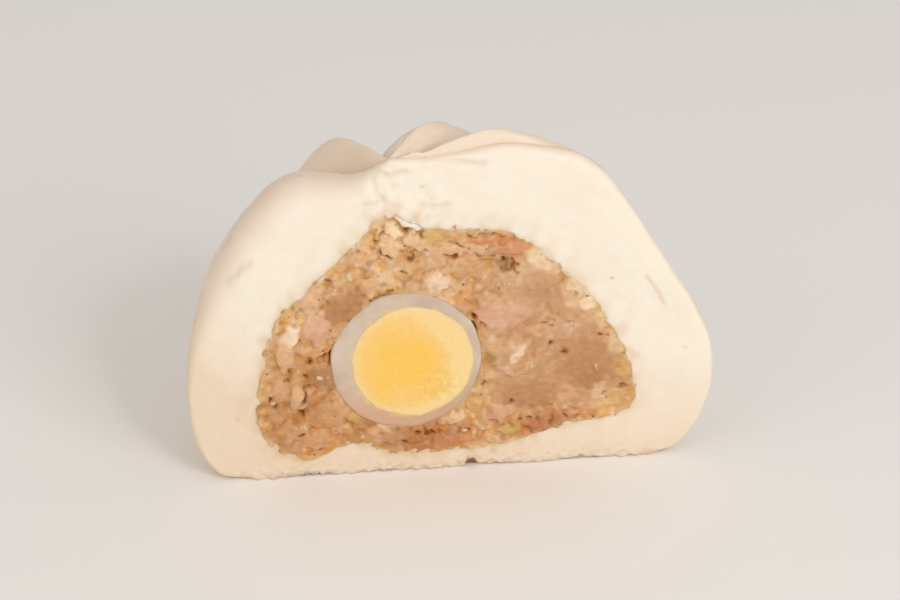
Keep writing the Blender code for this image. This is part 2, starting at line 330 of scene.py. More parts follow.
class Shell:
    """A mesh under construction, in millimetres, made of loops of points and faces between them."""

    def __init__(self):
        self.points = []
        self.faces = []

    def add(self, places):
        """Adds points and gives their numbers."""
        self.points.extend(tuple(place) for place in places)
        return list(range(len(self.points) - len(places), len(self.points)))

    def places(self, loop):
        return np.array([self.points[i] for i in loop])

    def strip(self, before, after, closed=True):
        """Squares between two loops, or triangles where the second one is a single point."""
        for i in range(len(before) if closed else len(before) - 1):
            j = (i + 1) % len(before)
            self.faces.append(list(dict.fromkeys((before[i], before[j], after[j], after[i]))))
        return after

    def close(self, before, pole):
        """Triangles from a loop to one more point."""
        self.strip(before, self.add([pole]) * len(before))

    def bowl(self, before, centre, depth, steps):
        """Loops that lead back from the cut to a pole behind the centre, as a bowl does."""
        edge = self.places(before)
        offset = edge[:, [0, 2]] - centre
        for step in range(1, steps):
            lean = step / steps * math.pi / 2
            wall = centre + offset * math.cos(lean) ** BOWL_ROUNDNESS
            behind = depth * math.sin(lean) + edge[:, 1] * (1.0 - math.sin(lean))
            before = self.strip(before, self.add(np.stack([wall[:, 0], behind, wall[:, 1]], axis=-1)))
        self.close(before, (centre[0], depth, centre[1]))


# %% [markdown]
# ## Node trees
# Every finish is a Principled BSDF fed by noise in Object coordinates, so the pattern stays with
# the piece. Later, two trees of Geometry Nodes make meshes. The same small helper serves both: it
# adds a node, sets its inputs and links it, which keeps each recipe short enough to read as one.

# %% A helper for node trees
class Nodes:
    """A node tree under construction. add makes a node, and sets or links its inputs."""

    def __init__(self, tree):
        self.tree = tree

    def add(self, kind, output=0, inputs=None, **settings):
        node = self.tree.nodes.new(kind)
        for key, value in settings.items():
            setattr(node, key, value)
        for key, value in (inputs or {}).items():
            self.join(value, node.inputs[key])
        return node.outputs[output]

    def join(self, value, socket):
        if isinstance(value, bpy.types.NodeSocket):
            self.tree.links.new(value, socket)
        else:
            socket.default_value = value

    def sums(self, operation, first, second=0.0):
        return self.add("ShaderNodeMath", operation=operation, inputs={0: first, 1: second})

    def times(self, first, second):
        return self.sums("MULTIPLY", first, second)

    def plus(self, first, second):
        return self.sums("ADD", first, second)

    def span(self, value, low, high, to_low=0.0, to_high=1.0, kind="LINEAR"):
        """The value, stretched so that low and high become to_low and to_high."""
        return self.add("ShaderNodeMapRange", interpolation_type=kind, inputs={
            "Value": value, "From Min": low, "From Max": high, "To Min": to_low, "To Max": to_high})


# %% A helper for finishes
class Finish(Nodes):
    """A material under construction, which done closes."""

    def __init__(self, name):
        self.material = bpy.data.materials.new(name)
        self.material.use_nodes = True
        super().__init__(self.material.node_tree)
        self.shader = self.tree.nodes["Principled BSDF"]
        self.place = self.tree.nodes.new("ShaderNodeTexCoord").outputs["Object"]

    def along(self, axis):
        """How far along the X, Y or Z axis a point lies, in metres."""
        return self.add("ShaderNodeSeparateXYZ", output=axis, inputs={"Vector": self.place})

    def noise(self, size_mm, detail=3.0, roughness=0.55):
        """Noise whose features are about that many millimetres across."""
        return self.add("ShaderNodeTexNoise", output="Fac", inputs={
            "Vector": self.place, "Scale": 1000.0 / size_mm, "Detail": detail, "Roughness": roughness})

    def specks(self, size_mm):
        return self.add("ShaderNodeTexVoronoi", output="Distance", inputs={
            "Vector": self.place, "Scale": 1000.0 / size_mm})

    def waver(self, size_mm, reach, detail=3.0):
        """Noise that runs from minus reach to reach."""
        return self.span(self.noise(size_mm, detail=detail), 0.3, 0.7, -reach, reach)

    def mix(self, first, second, part):
        """A mix of two colours, each a link or a tone."""
        node = self.tree.nodes.new("ShaderNodeMix")
        node.data_type = "RGBA"
        self.join(part, node.inputs["Factor"])
        for colour, socket in ((first, node.inputs[6]), (second, node.inputs[7])):
            self.join(colour if isinstance(colour, bpy.types.NodeSocket) else (*colour, 1.0), socket)
        return node.outputs[2]

    def washed(self, colour, *washes):
        """A colour with others laid over it. Each wash: its tone, and how much of it shows."""
        for over, part in washes:
            colour = self.mix(colour, over, part)
        return colour

    def mark(self, name, output="Fac"):
        return self.add("ShaderNodeAttribute", output=output, attribute_name=name)

    def bump(self, height, distance_mm, strength, normal=None):
        inputs = {"Height": height, "Distance": distance_mm * MM, "Strength": strength}
        if normal is not None:
            inputs["Normal"] = normal
        return self.add("ShaderNodeBump", inputs=inputs)

    def done(self, **inputs):
        for key, value in inputs.items():
            self.join(value, self.shader.inputs[key.replace("_", " ")])
        return self.material


print("finishes can be mixed")

# %% [markdown]
# ## Steamed dough, seen from outside
# The bun is a dome whose skin was gathered and pinched shut at the top, which leaves a pleat at
# each pinch. The dome is worked out as a grid of meridians. Its profile is blended between the
# right, the back and the left, and the skin sinks into a valley between each two lobes. Towards
# the closure the meridians twist, as the cook's fingers turned the dough. These are the measures
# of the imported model, on a grid that is fine enough for soft creases.

# %% The dome's measures
RIGHT_PROFILE = (
    (36.5, 0.0), (40.9, 1.5), (44.9, 7.5), (46.5, 15.0), (46.1, 21.0), (43.9, 27.4), (41.0, 32.9),
    (39.2, 35.9), (35.1, 43.3), (30.8, 51.0), (28.6, 54.6), (25.8, 57.4), (22.8, 59.0), (15.5, 60.7),
    (10.1, 60.2), (5.2, 59.9), (0.0, 60.4),
)
BACK_PROFILE = (
    (33.0, 0.0), (37.5, 1.5), (41.5, 7.5), (43.0, 15.0), (42.4, 24.0), (40.0, 33.0), (36.2, 42.0),
    (31.0, 50.2), (25.0, 55.6), (18.0, 59.4), (11.0, 61.3), (5.0, 61.2), (0.0, 60.4),
)
LEFT_PROFILE = (
    (34.0, 0.0), (39.6, 1.5), (43.5, 8.5), (44.3, 17.5), (42.9, 27.0), (40.5, 34.0), (38.3, 39.2),
    (36.0, 43.4), (33.3, 47.0), (30.7, 50.0), (28.0, 52.4), (25.4, 53.9), (21.8, 54.9), (17.0, 54.9),
    (11.1, 55.2), (6.4, 57.0), (2.5, 59.2), (0.0, 60.4),
)
BUN_HEIGHT = 62.4
WIDEST_HEIGHT = 15.0
CLOSURE_SHIFT = 9.5
DIMPLE_DEPTH = 1.0
DIMPLE_WIDTH = 0.17
VALLEY_ANGLES = (-20.0, 50.0, 111.0, 147.0, 213.0)
VALLEY_FOOT = (0.42, 0.30, 0.22, 0.36, 0.48)
LOBE_SWELL = (2.6, 0.9, -0.2, 0.0)
LOBE_SKEW = (1.0, 0.62, 0.95, 1.0)
VALLEY_DEPTH = 6.2
LOBE_ROUNDNESS = (1.8, 1.25, 1.35, 2.2)
PLEAT_TWIST = math.radians(16)
UNEVEN_SKIN = 0.45
CUT_BEHIND_MIDDLE = 10.0
CUT_SLANT = 7.0
CUT_EDGE = 0.9
TOP_ROUNDING = 0.5
EDGE_UNEVEN = 0.22
LEFT_ROUNDING = 4.0
PROFILE_PIECES = 60
SKIN_COLUMNS = 250
SKIN_ROWS = 150
EDGE_LOOPS = 9
CORNER_BLUR = 4

# Each crumple: its place right of the closure and behind the cut, and its height.
CRUMPLES = ((-7.4, 1.6, 0.45), (-5.2, 1.0, 0.7))
CRUMPLE_WIDTH = 1.1
CRUMPLE_LENGTH = 0.9


# %% The skin as a grid
def column_angles(columns):
    """Angles round the closure, from the right to the left, with one column in each valley."""
    stops = [0.0] + [a for a in VALLEY_ANGLES if 0.0 < a < 180.0] + [180.0]
    parts = []
    for start, end in zip(stops[:-1], stops[1:]):
        parts.append(np.linspace(start, end, round(columns * (end - start) / 180.0), endpoint=False))
    return np.radians(np.concatenate(parts + [[180.0]]))


def pleat_depth(angle, rise, share):
    """How far the skin lies inside the lobes' crests. share is the radius over the widest one."""
    turned = np.broadcast_to(np.degrees(angle), rise.shape)
    valleys = np.array(VALLEY_ANGLES)
    left = np.clip(np.searchsorted(valleys, turned, side="right") - 1, 0, len(valleys) - 2)
    across = np.clip((turned - valleys[left]) / (valleys[left + 1] - valleys[left]), 0.0, 1.0)
    groove = np.abs(2.0 * across ** np.array(LOBE_SKEW)[left] - 1.0) ** np.array(LOBE_ROUNDNESS)[left]
    feet = np.array(VALLEY_FOOT)
    foot = feet[left] * (1.0 - across) + feet[left + 1] * across
    strength = smoothstep(rise, foot, 0.93) * smoothstep(share, -0.12, 0.42)
    swell = np.array(LOBE_SWELL)[left] * (1.0 - groove) * smoothstep(rise, 0.55, 1.0)
    swell = swell * smoothstep(share, 0.62, 0.30)
    off_cut = smoothstep(np.sin(angle), 0.0, 0.4)
    return (VALLEY_DEPTH * groove * strength - swell * smoothstep(share, 0.02, 0.3)) * off_cut


def skin_grid(columns, rows):
    """Points of the skin from the base's rim, the first row, up to the closure."""
    angle = column_angles(columns)
    profiles = (RIGHT_PROFILE, BACK_PROFILE, LEFT_PROFILE)
    right, back, left = (evenly(curve_through(profile, PROFILE_PIECES), rows) for profile in profiles)
    ends = np.where(np.cos(angle) > 0.0, right[..., None], left[..., None])
    radius, height = ends * np.cos(angle) ** 2 + back[..., None] * np.sin(angle) ** 2
    rise = np.clip((height - WIDEST_HEIGHT) / (BUN_HEIGHT - WIDEST_HEIGHT), 0.0, 1.0)
    steep = np.hypot(np.gradient(radius, axis=0), np.gradient(height, axis=0))
    out_r = np.gradient(height, axis=0) / steep
    out_z = -np.gradient(radius, axis=0) / steep
    angle = angle[None, :]
    share = radius / radius.max(axis=0)
    part = height / BUN_HEIGHT
    wave = np.sin(2.0 * angle + 3.1 * part) + 0.6 * np.sin(5.0 * angle - 4.0 * part + 1.3)
    wave = UNEVEN_SKIN * 0.5 * (wave + 0.5 * np.sin(3.0 * angle + 9.0 * part + 0.4))
    wave = wave * smoothstep(height, 0.0, 12.0) * smoothstep(share, 0.1, 0.5)
    depth = pleat_depth(angle, rise, share) - wave
    turned = angle + PLEAT_TWIST * (1.0 - share) ** 2 * np.sin(angle)
    around = np.stack([radius * np.cos(turned), radius * np.sin(turned), height], axis=-1)
    dents = layered(around, ((0.11, 7.0, 3), (0.035, 2.2, 4)))
    gathers = ripples(np.stack([18.0 * turned, share * 9.0], axis=-1), 2.4, seed=5)
    gathers = 0.11 * gathers * smoothstep(share, 0.50, 0.15) * smoothstep(share, 0.02, 0.12)
    for right_of, behind_cut, height_out in CRUMPLES:
        beside = around[..., 0] - CLOSURE_SHIFT * (1.0 - share) ** 2 - right_of
        before = around[..., 1] - behind_cut
        crumple = np.exp(-((beside / CRUMPLE_WIDTH) ** 2 + (before / CRUMPLE_LENGTH) ** 2))
        gathers = gathers - height_out * crumple
    depth = depth + (dents * smoothstep(height, 0.0, 6.0) + gathers) * smoothstep(np.sin(angle), 0.0, 0.25)
    away = np.clip(radius - depth * out_r, 0.0, None) * (share > 0.0)
    behind = (CUT_BEHIND_MIDDLE + CUT_SLANT * np.cos(angle)) * np.sqrt(share)
    leftward = np.clip(-np.cos(angle), 0.0, 1.0) ** 2
    soft = LEFT_ROUNDING * leftward * smoothstep(rise, 0.05, 0.45) * smoothstep(share, 0.0, 0.45)
    u = away * np.cos(turned) - CLOSURE_SHIFT * (1.0 - share) ** 2 * smoothstep(rise, 0.0, 0.3)
    pressed = CUT_EDGE + soft + TOP_ROUNDING * smoothstep(share, 0.85, 0.40) * smoothstep(share, 0.02, 0.25)
    uneven = EDGE_UNEVEN * ripples(around, 6.0, seed=6) * smoothstep(np.sin(angle), 0.3, 0.0)
    pressed = pressed + uneven * smoothstep(height, 0.0, 8.0) * smoothstep(share, 0.03, 0.2)
    back_of_cut = pressed + np.hypot(away * np.sin(turned), behind) - behind
    v = height - depth * out_z - DIMPLE_DEPTH * close_to(share, DIMPLE_WIDTH)
    return np.stack([u, back_of_cut, v], axis=-1)


skin = skin_grid(SKIN_COLUMNS, SKIN_ROWS)
MIDDLE = (skin[..., 0].min() + skin[..., 0].max()) / 2
print(f"skin of {skin.shape[0]} rows and {skin.shape[1]} columns, its middle at {MIDDLE:.2f} mm")

# %% [markdown]
# ## Steamed dough on the cut
# The knife pressed the soft edge round before it cut, so the skin rolls onto the flat face, tightly
# on the right and broadly on the upper left. The face itself is close-grained and dry. It shows
# where the folds of the closure met, as a seam that runs down from the top, and it is torn a
# little along the base and where it let go of the filling. Juice has stained it round the filling.
# The folds, the lowest edge and a notch in it are darkened with painted shade.

# %% The filling's and the egg's outlines
FILLING_OUTLINE = (
    (32.6, 14.8), (30.2, 8.8), (20.5, 7.4), (9.5, 4.4), (-1.0, 3.9), (-9.0, 4.0), (-16.2, 6.4),
    (-23.8, 3.6), (-31.2, 8.8), (-31.4, 21.0), (-27.2, 32.0), (-18.4, 40.2), (-10.4, 48.8),
    (-2.5, 46.3), (10.0, 44.2), (18.6, 38.2), (27.4, 27.4),
)
FILLING_CENTRE = (-2.0, 20.0)
FILLING_DEPTH = 25.0
EGG_CENTRE = (-6.8, 21.4)
EGG_RADIUS = 13.0
EGG_DEPTH = 15.5
YOLK_CENTRE = (-5.7, 21.2)
YOLK_RADIUS = 10.2
CLEARANCE = 0.3


def round_reach(radius, wobble):
    """A nearly round outline, as its radius for any angle."""
    def reach(turn):
        waves = np.sin(2 * turn + 0.6) + 0.7 * np.sin(3 * turn + 2.4) + 0.4 * np.sin(5 * turn)
        return radius + wobble * waves
    return reach


# %% The relief of the face
# Lines on the cut face: the seam under the closure, a scratch on the right, a streak on the left.
SEAM = ((-12.6, 58.6), (-12.6, 56.6), (-11.8, 54.2), (-10.9, 51.5), (-9.4, 49.0))
SCRATCH = ((34.5, 35.0), (36.4, 32.3), (37.7, 29.4))
GREY_STREAK = ((-37.0, 38.0), (-35.4, 39.7), (-33.3, 41.8))

# Each fold of the closure: its half width, its depth, and the line it follows.
FOLDS = (
    (0.40, 0.34, ((-11.4, 57.5), (-9.4, 56.6), (-7.0, 57.1))),
    (0.45, 0.34, ((-3.5, 59.3), (-0.5, 59.2), (3.0, 58.2), (6.4, 57.7))),
    (0.30, 0.26, ((-4.2, 50.8), (-2.2, 50.3), (0.4, 50.7))),
    (0.40, 0.26, ((-10.6, 52.4), (-12.0, 51.6), (-13.6, 51.7))),
    (0.35, 0.22, ((-3.9, 54.1), (-2.5, 52.0), (-2.3, 50.0), (-3.4, 47.9))),
)
KNOB = (-6.4, 50.2)
KNOB_HEIGHT = 0.45
NOTCH_PLACE = 4.5
NOTCH_HEIGHT = 1.3
NOTCH_WIDTH = 1.2
# How far either way the painted shade in the notch reaches.
NOTCH_SHADE_WIDTH = 1.4
RAGGED_HEIGHT = 0.48
RAGGED_FADE = 3.0
BASE_LINE_POINTS = 220


def face_relief(u, v, off_filling):
    """How far the cut face stands out, negative where it is sunk, in millimetres."""
    place = np.stack([u, v], axis=-1)
    relief = layered(place, ((0.16, 13.0, 11), (0.06, 4.0, 12), (0.018, 1.1, 13)))
    seam = along_line(place + 0.35 * ripples(place, 3.0, seed=14)[:, None], SEAM)
    seam = 0.30 * close_to(seam, 0.6) - 0.18 * close_to(seam - 1.8, 1.2)
    relief = relief - smoothstep(v, 48.0, 53.0) * seam
    gathered = close_to(np.hypot(u + 8.0, (v - 57.0) * 0.8), 6.0)
    relief = relief + 0.16 * gathered * ripples(place * np.array([1.0, 0.6]), 1.9, seed=15)
    scratch = along_line(place, SCRATCH)
    relief = relief - 0.12 * close_to(scratch, 0.22) + 0.08 * close_to(scratch - 0.45, 0.25)
    relief = relief - 0.08 * close_to(along_line(place, GREY_STREAK), 0.5)
    bent = place + 0.3 * ripples(place, 2.0, seed=28)[:, None]
    for width, depth, line in FOLDS:
        fold = along_line(bent, line)
        relief = relief - depth * close_to(fold, width) + 0.5 * depth * close_to(fold - 1.1, 0.8)
    relief = relief + KNOB_HEIGHT * close_to(np.hypot((u - KNOB[0]) / 2.6, (v - KNOB[1]) / 3.0), 1.0)

    # It is torn where it let go of the filling, and along the base.
    torn = smoothstep(off_filling, 2.4, 0.2)
    relief = relief + torn * layered(place, ((0.11, 1.9, 16), (0.04, 0.7, 17)))
    low = smoothstep(v, 3.2, 0.3)
    return relief + low * layered(place, ((0.18, 1.5, 18), (0.06, 0.6, 19)))


# %% [markdown]
# The body is put together from four parts that share their edges: the skin, the rolled edge, the
# face and the hollow behind it. The face is a band of rings. Each ring lies a step further from
# the rim of the cut towards the hollow, so the rings follow both outlines. The base closes it
# underneath, again as rings, and the torn lower edge lifts off the floor in places.

# %% The way from the rim, and the torn lower edge
def facing_inward(outline):
    """For each point of the cut's rim, the way towards the middle of the face."""
    along = np.gradient(outline, axis=0)
    inward = np.stack([-along[:, 1], along[:, 0]], axis=-1)
    inward = inward / np.linalg.norm(inward, axis=1, keepdims=True)
    # It is blurred a little, so that the loops do not cross at the closure's corner.
    softly = np.pad(inward, ((CORNER_BLUR, CORNER_BLUR), (0, 0)), mode="edge")
    inward = sum(softly[i:i + len(inward)] for i in range(2 * CORNER_BLUR + 1))
    inward = inward / np.linalg.norm(inward, axis=1, keepdims=True)
    inward[0], inward[-1] = (-1.0, 0.0), (1.0, 0.0)
    return inward


def torn_edge(start, end):
    """The lower edge of the face: how far right each of its points lies, and how high."""
    across = np.linspace(start, end, BASE_LINE_POINTS + 2)[1:-1]
    line = across[:, None]
    rag = np.abs(ripples(line, 3.5, seed=21)) * 0.6 + 0.4 * np.abs(ripples(line, 1.1, seed=22))
    patchy = (0.7 + 0.5 * ripples(line, 11.0, seed=29)).clip(0.15, 1.6)
    rag = RAGGED_HEIGHT * rag * patchy * smoothstep(across, start, start + RAGGED_FADE)
    rag = rag * smoothstep(across, end, end - RAGGED_FADE)
    notch = NOTCH_HEIGHT * np.exp(-(((across - NOTCH_PLACE) / NOTCH_WIDTH) ** 4))
    return across, rag + notch


# %% Stains and painted shade on the dough
# Small grey specks on the face: the place and the radius of each.
SPECKS = ((-3.8, 54.0, 0.28), (28.6, 34.8, 0.3), (41.5, 21.0, 0.25), (-36.0, 12.0, 0.3))


def dough_marks(points, cut, off):
    """How far each point belongs to the cut, how stained and streaked it is, and where shade is painted."""
    place = points[:, [0, 2]]
    stain = np.exp(-off / (1.3 + 0.7 * ripples(place, 5.0, seed=25)).clip(0.4))
    stain = stain * (0.65 + 0.25 * ripples(place, 2.6, seed=26)).clip(0.1, 1.2)
    stain = np.maximum(stain, 0.5 * close_to(along_line(place, SCRATCH), 0.3) * cut)
    streaks_and_fold_shade = 0.55 * (close_to(along_line(place, GREY_STREAK), 0.55) * cut)
    # Along the folds the dough is painted darker: painted shade in their creases. The grey streak and the
    # specks are marks of the dough itself.
    for width, depth, line in FOLDS:
        shadow = 0.8 * depth * close_to(along_line(place, line), 1.5 * width) * cut
        streaks_and_fold_shade = np.maximum(streaks_and_fold_shade, shadow)
    for u, v, radius in SPECKS:
        near = np.hypot(place[:, 0] - u, place[:, 1] - v)
        streaks_and_fold_shade = np.maximum(streaks_and_fold_shade, close_to(near, radius) * cut)
    u, behind, v = points.T
    # The lowest edge and the notch in it are painted darker and browner: painted shade where the bun meets the
    # floor and a painted brown reflection from below, with a little juice in the notch.
    painted_base_shade = smoothstep(v, 1.2, 0.0) * (0.7 + 0.6 * ripples(place, 3.5, seed=27)).clip(0.0, 1.0)
    at_notch = np.exp(-((np.abs(u - NOTCH_PLACE) / NOTCH_SHADE_WIDTH) ** 4))
    in_notch = smoothstep(behind, -0.1, 0.5) * smoothstep(behind, 8.0, 4.0) * (v < 2.0)
    in_notch = np.maximum(in_notch, 0.4 * (v < NOTCH_HEIGHT + 0.3))
    painted_base_shade = np.maximum(painted_base_shade, 2.0 * at_notch * in_notch)
    return {"cut": cut, "stain": stain.clip(0.0, 1.0), "streaks_and_fold_shade": streaks_and_fold_shade, "painted_base_shade": painted_base_shade}


# %% The dough as one closed body
FACE_RINGS = 34
HOLLOW_STEPS = 15
BASE_RINGS = (0.985, 0.96, 0.93, 0.88, 0.72, 0.45, 0.2)
BASE_MIDDLE = np.array([0.0, 9.0, 0.0])
HOLLOW_TIGHT = 0.05
FAR_AWAY = 99.0


def steamed_dough(finish):
    made = Shell()
    lines = [made.add(row) for row in skin[:-1]]
    lines.append(made.add([skin[-1, 0]]) * skin.shape[1])
    for lower, upper in zip(lines[:-1], lines[1:]):
        made.strip(lower, upper, closed=False)

    # The rim of the cut runs from the right foot over the closure to the left foot, and each
    # loop carries it further round onto the face.
    rim = [line[0] for line in lines] + [line[-1] for line in reversed(lines[:-1])]
    edge = made.places(rim)
    outline = edge[:, [0, 2]]
    inward = facing_inward(outline)
    loops = [rim]
    for step in range(1, EDGE_LOOPS + 1):
        lean = step / EDGE_LOOPS * math.pi / 2
        moved = outline + (edge[:, 1] * (1.0 - math.cos(lean)))[:, None] * inward
        behind = edge[:, 1] * (1.0 - math.sin(lean))
        loop = made.add(np.stack([moved[:, 0], behind, moved[:, 1]], axis=-1))
        loops.append(made.strip(loops[-1], loop, closed=False))

    # The torn lower edge closes the ring round the face, from the left foot to the right one.
    rolled = made.places(loops[-1])
    across, torn_height = torn_edge(rolled[-1, 0], rolled[0, 0])
    torn_line = made.add(np.stack([across, np.zeros_like(across), torn_height], axis=-1))

    # The rays of the face aim from a straight base line, and its tears fade out along them.
    ring = loops[-1] + torn_line
    start = made.places(ring)[:, [0, 2]]
    torn = np.concatenate([np.zeros(len(rim)), torn_height])
    start[:, 1] -= torn
    centre = np.array(FILLING_CENTRE)
    turn = np.arctan2(start[:, 1] - centre[1], start[:, 0] - centre[0])
    reach = outline_reach(FILLING_OUTLINE, FILLING_CENTRE)(turn) - HOLLOW_TIGHT
    reach = layered(way_of(turn) * reach[:, None], ((0.22, 2.6, 23), (0.05, 0.9, 24)), reach)
    hollow = way_of(turn) * reach[:, None] + centre
    before = ring
    off_hollow = []
    face_start = len(made.points)
    for step in range(1, FACE_RINGS + 1):
        part = step / FACE_RINGS
        moved = start * (1.0 - part) + hollow * part
        moved[:, 1] += torn * (1.0 - part) ** 1.5
        off_hollow.append(np.linalg.norm(moved - hollow, axis=1))
        before = made.strip(before, made.add([(u, 0.0, v) for u, v in moved]))
    face_end = len(made.points)
    made.bowl(before, centre, FILLING_DEPTH + CLEARANCE, HOLLOW_STEPS)
    hollow_end = len(made.points)

    # The base, from its own rim to its middle.
    up_left = [loop[-1] for loop in loops[1:]]
    down_right = [loop[0] for loop in reversed(loops[1:])]
    before = lines[0] + up_left + torn_line + down_right
    foot = made.places(before)
    for share in BASE_RINGS:
        flat = np.array([1.0, 1.0, smoothstep(share, 0.90, 0.98)])
        before = made.strip(before, made.add((foot * share + BASE_MIDDLE * (1.0 - share)) * flat))
    made.close(before, BASE_MIDDLE)

    # The relief fades in round the rolled edge, so that it has no step.
    points = np.array(made.points)
    off = np.full(len(points), FAR_AWAY)
    off[face_start:face_end] = np.concatenate(off_hollow)
    cut = np.zeros(len(points))
    for step, loop in enumerate(loops):
        cut[loop] = math.sin(step / EDGE_LOOPS * math.pi / 2) ** 2
    cut[torn_line] = 1.0
    cut[face_start:face_end] = 1.0
    raised = np.flatnonzero(cut > 0.0)
    relief = face_relief(points[raised, 0], points[raised, 2], off[raised])
    points[raised, 1] -= relief * cut[raised]
    cut[face_end:hollow_end] = 1.0
    off[face_end:hollow_end] = 0.0
    marks = dough_marks(points, cut, off)
    return make_piece("steamed_dough", points, made.faces, finish, marks, MIDDLE)


# %% [markdown]
# The finish of the dough: nearly white on the cut and a little warmer on the skin, which steam has
# made smooth and faintly glossy. Lower down it is yellower, partly from soaked-up juice and partly as
# painted warm light reflected from below; higher up on the left the same tint is painted shade.
# Light goes a short way in and comes out again, and that softens every shadow on it.
# The cut has fine pores, and bump makes them, since they are far smaller than the mesh's squares.

# %% Dough finish
# How low the warm tint of juice and painted reflected light begins, and where it is full.
WARM_TINT_BELOW = 19.0
WARM_TINT_FULLY_BELOW = 1.0


def dough_finish():
    made = Finish("steamed dough")
    cut = made.mark("cut")
    cloud = made.noise(9.0, detail=4.0)
    grain = made.noise(1.2, detail=4.0, roughness=0.6)
    skin_colour = made.mix(tone(241, 221, 200), tone(246, 229, 210), cloud)
    face_colour = made.mix(tone(250, 237, 219), tone(254, 245, 232), cloud)
    # The warm tint low down is partly soaked-up juice and partly painted warm light reflected from below;
    # where it climbs higher on the left it is painted shade.
    wavering = made.plus(made.along("Z"), made.waver(12.0, 2.5 * MM))
    painted_shade_higher_left = made.span(made.along("X"), -24.0 * MM, -44.0 * MM, 0.0, 20.0 * MM)
    wavering = made.sums("SUBTRACT", wavering, painted_shade_higher_left)
    soak_and_painted_light = made.span(wavering, WARM_TINT_BELOW * MM, WARM_TINT_FULLY_BELOW * MM, 0.0, 0.72)
    painted_base_shade = made.mark("painted_base_shade")
    colour = made.washed(
        made.mix(skin_colour, face_colour, cut),
        (tone(233, 211, 185), soak_and_painted_light),
        (tone(236, 214, 184), made.span(grain, 0.3, 0.7, 0.0, 0.10)),
        (tone(222, 180, 124), made.times(made.mark("stain"), 0.9)),
        # The grey streak and specks, and painted shade along the folds.
        (tone(178, 160, 128), made.times(made.mark("streaks_and_fold_shade"), 0.65)),
        # Painted shade and painted brown reflection along the lowest edge, darkest in the notch.
        (tone(214, 168, 120), made.span(painted_base_shade, 0.0, 1.0, 0.0, 0.55)),
        (tone(128, 78, 34), made.span(painted_base_shade, 1.0, 1.9, 0.0, 0.9)),
    )
    pores = made.specks(0.55)
    fine = made.noise(0.35, detail=3.0)
    pore_depth = made.times(made.span(pores, 0.0, 0.35, 0.0, 1.0), made.span(cut, 0.0, 1.0, 0.15, 1.0))
    rough_skin = made.bump(fine, 0.03, 0.35)
    grainy = made.bump(grain, 0.10, 0.35, rough_skin)
    porous = made.bump(pore_depth, 0.05, 0.35, grainy)
    roughness = made.plus(made.span(fine, 0.3, 0.7, -0.06, 0.06), made.span(cut, 0.0, 1.0, 0.42, 0.62))
    return made.done(
        Base_Color=colour, Roughness=roughness, Normal=porous, Subsurface_Weight=0.35,
        Subsurface_Radius=(1.0, 0.75, 0.5), Subsurface_Scale=0.0022, Specular_IOR_Level=0.42,
    )


dough = steamed_dough(dough_finish())
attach(dough, "root")
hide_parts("dough")

# %% [markdown]
# ## The minced filling
# Steamed mince is a crowd of soft lumps. Where the knife tore it, on the left, along the top and
# round the edge, the lumps stand apart with crevices between them. On the right it was pressed into
# a smooth paste. Two sizes of cells make the lumps. What is special in this bun, such as the pale
# bits of fat or the deep crevice beside the egg, is placed from lists in millimetres: right of the
# middle and above the base.

# %% Tones of the mince
TAN = tone(210, 160, 112)
PEACH = tone(226, 182, 138)
PINK = tone(208, 158, 118)
BROWN = tone(182, 126, 76)
GOLD = tone(214, 172, 108)
PASTE = tone(200, 150, 108)
PASTE_DARK = tone(190, 136, 86)
CREAM = tone(240, 212, 174)
FAT = tone(240, 217, 190)
TONGUE = tone(255, 240, 220)
ROSY = tone(216, 168, 136)
RUST = tone(212, 148, 102)
OLIVE = tone(200, 168, 96)
EMBER = tone(206, 132, 78)
# The next two tones are painted shade for the bottoms of crevices, pits and gaps, and the mushroom's own dark
# where its lines are.
CREVICE_SHADE = tone(146, 80, 20)
DARKEST_SHADE = tone(98, 46, 4)
GREEN = tone(140, 138, 20)
MUSHROOM = tone(172, 134, 84)
STRAW = tone(228, 196, 146)
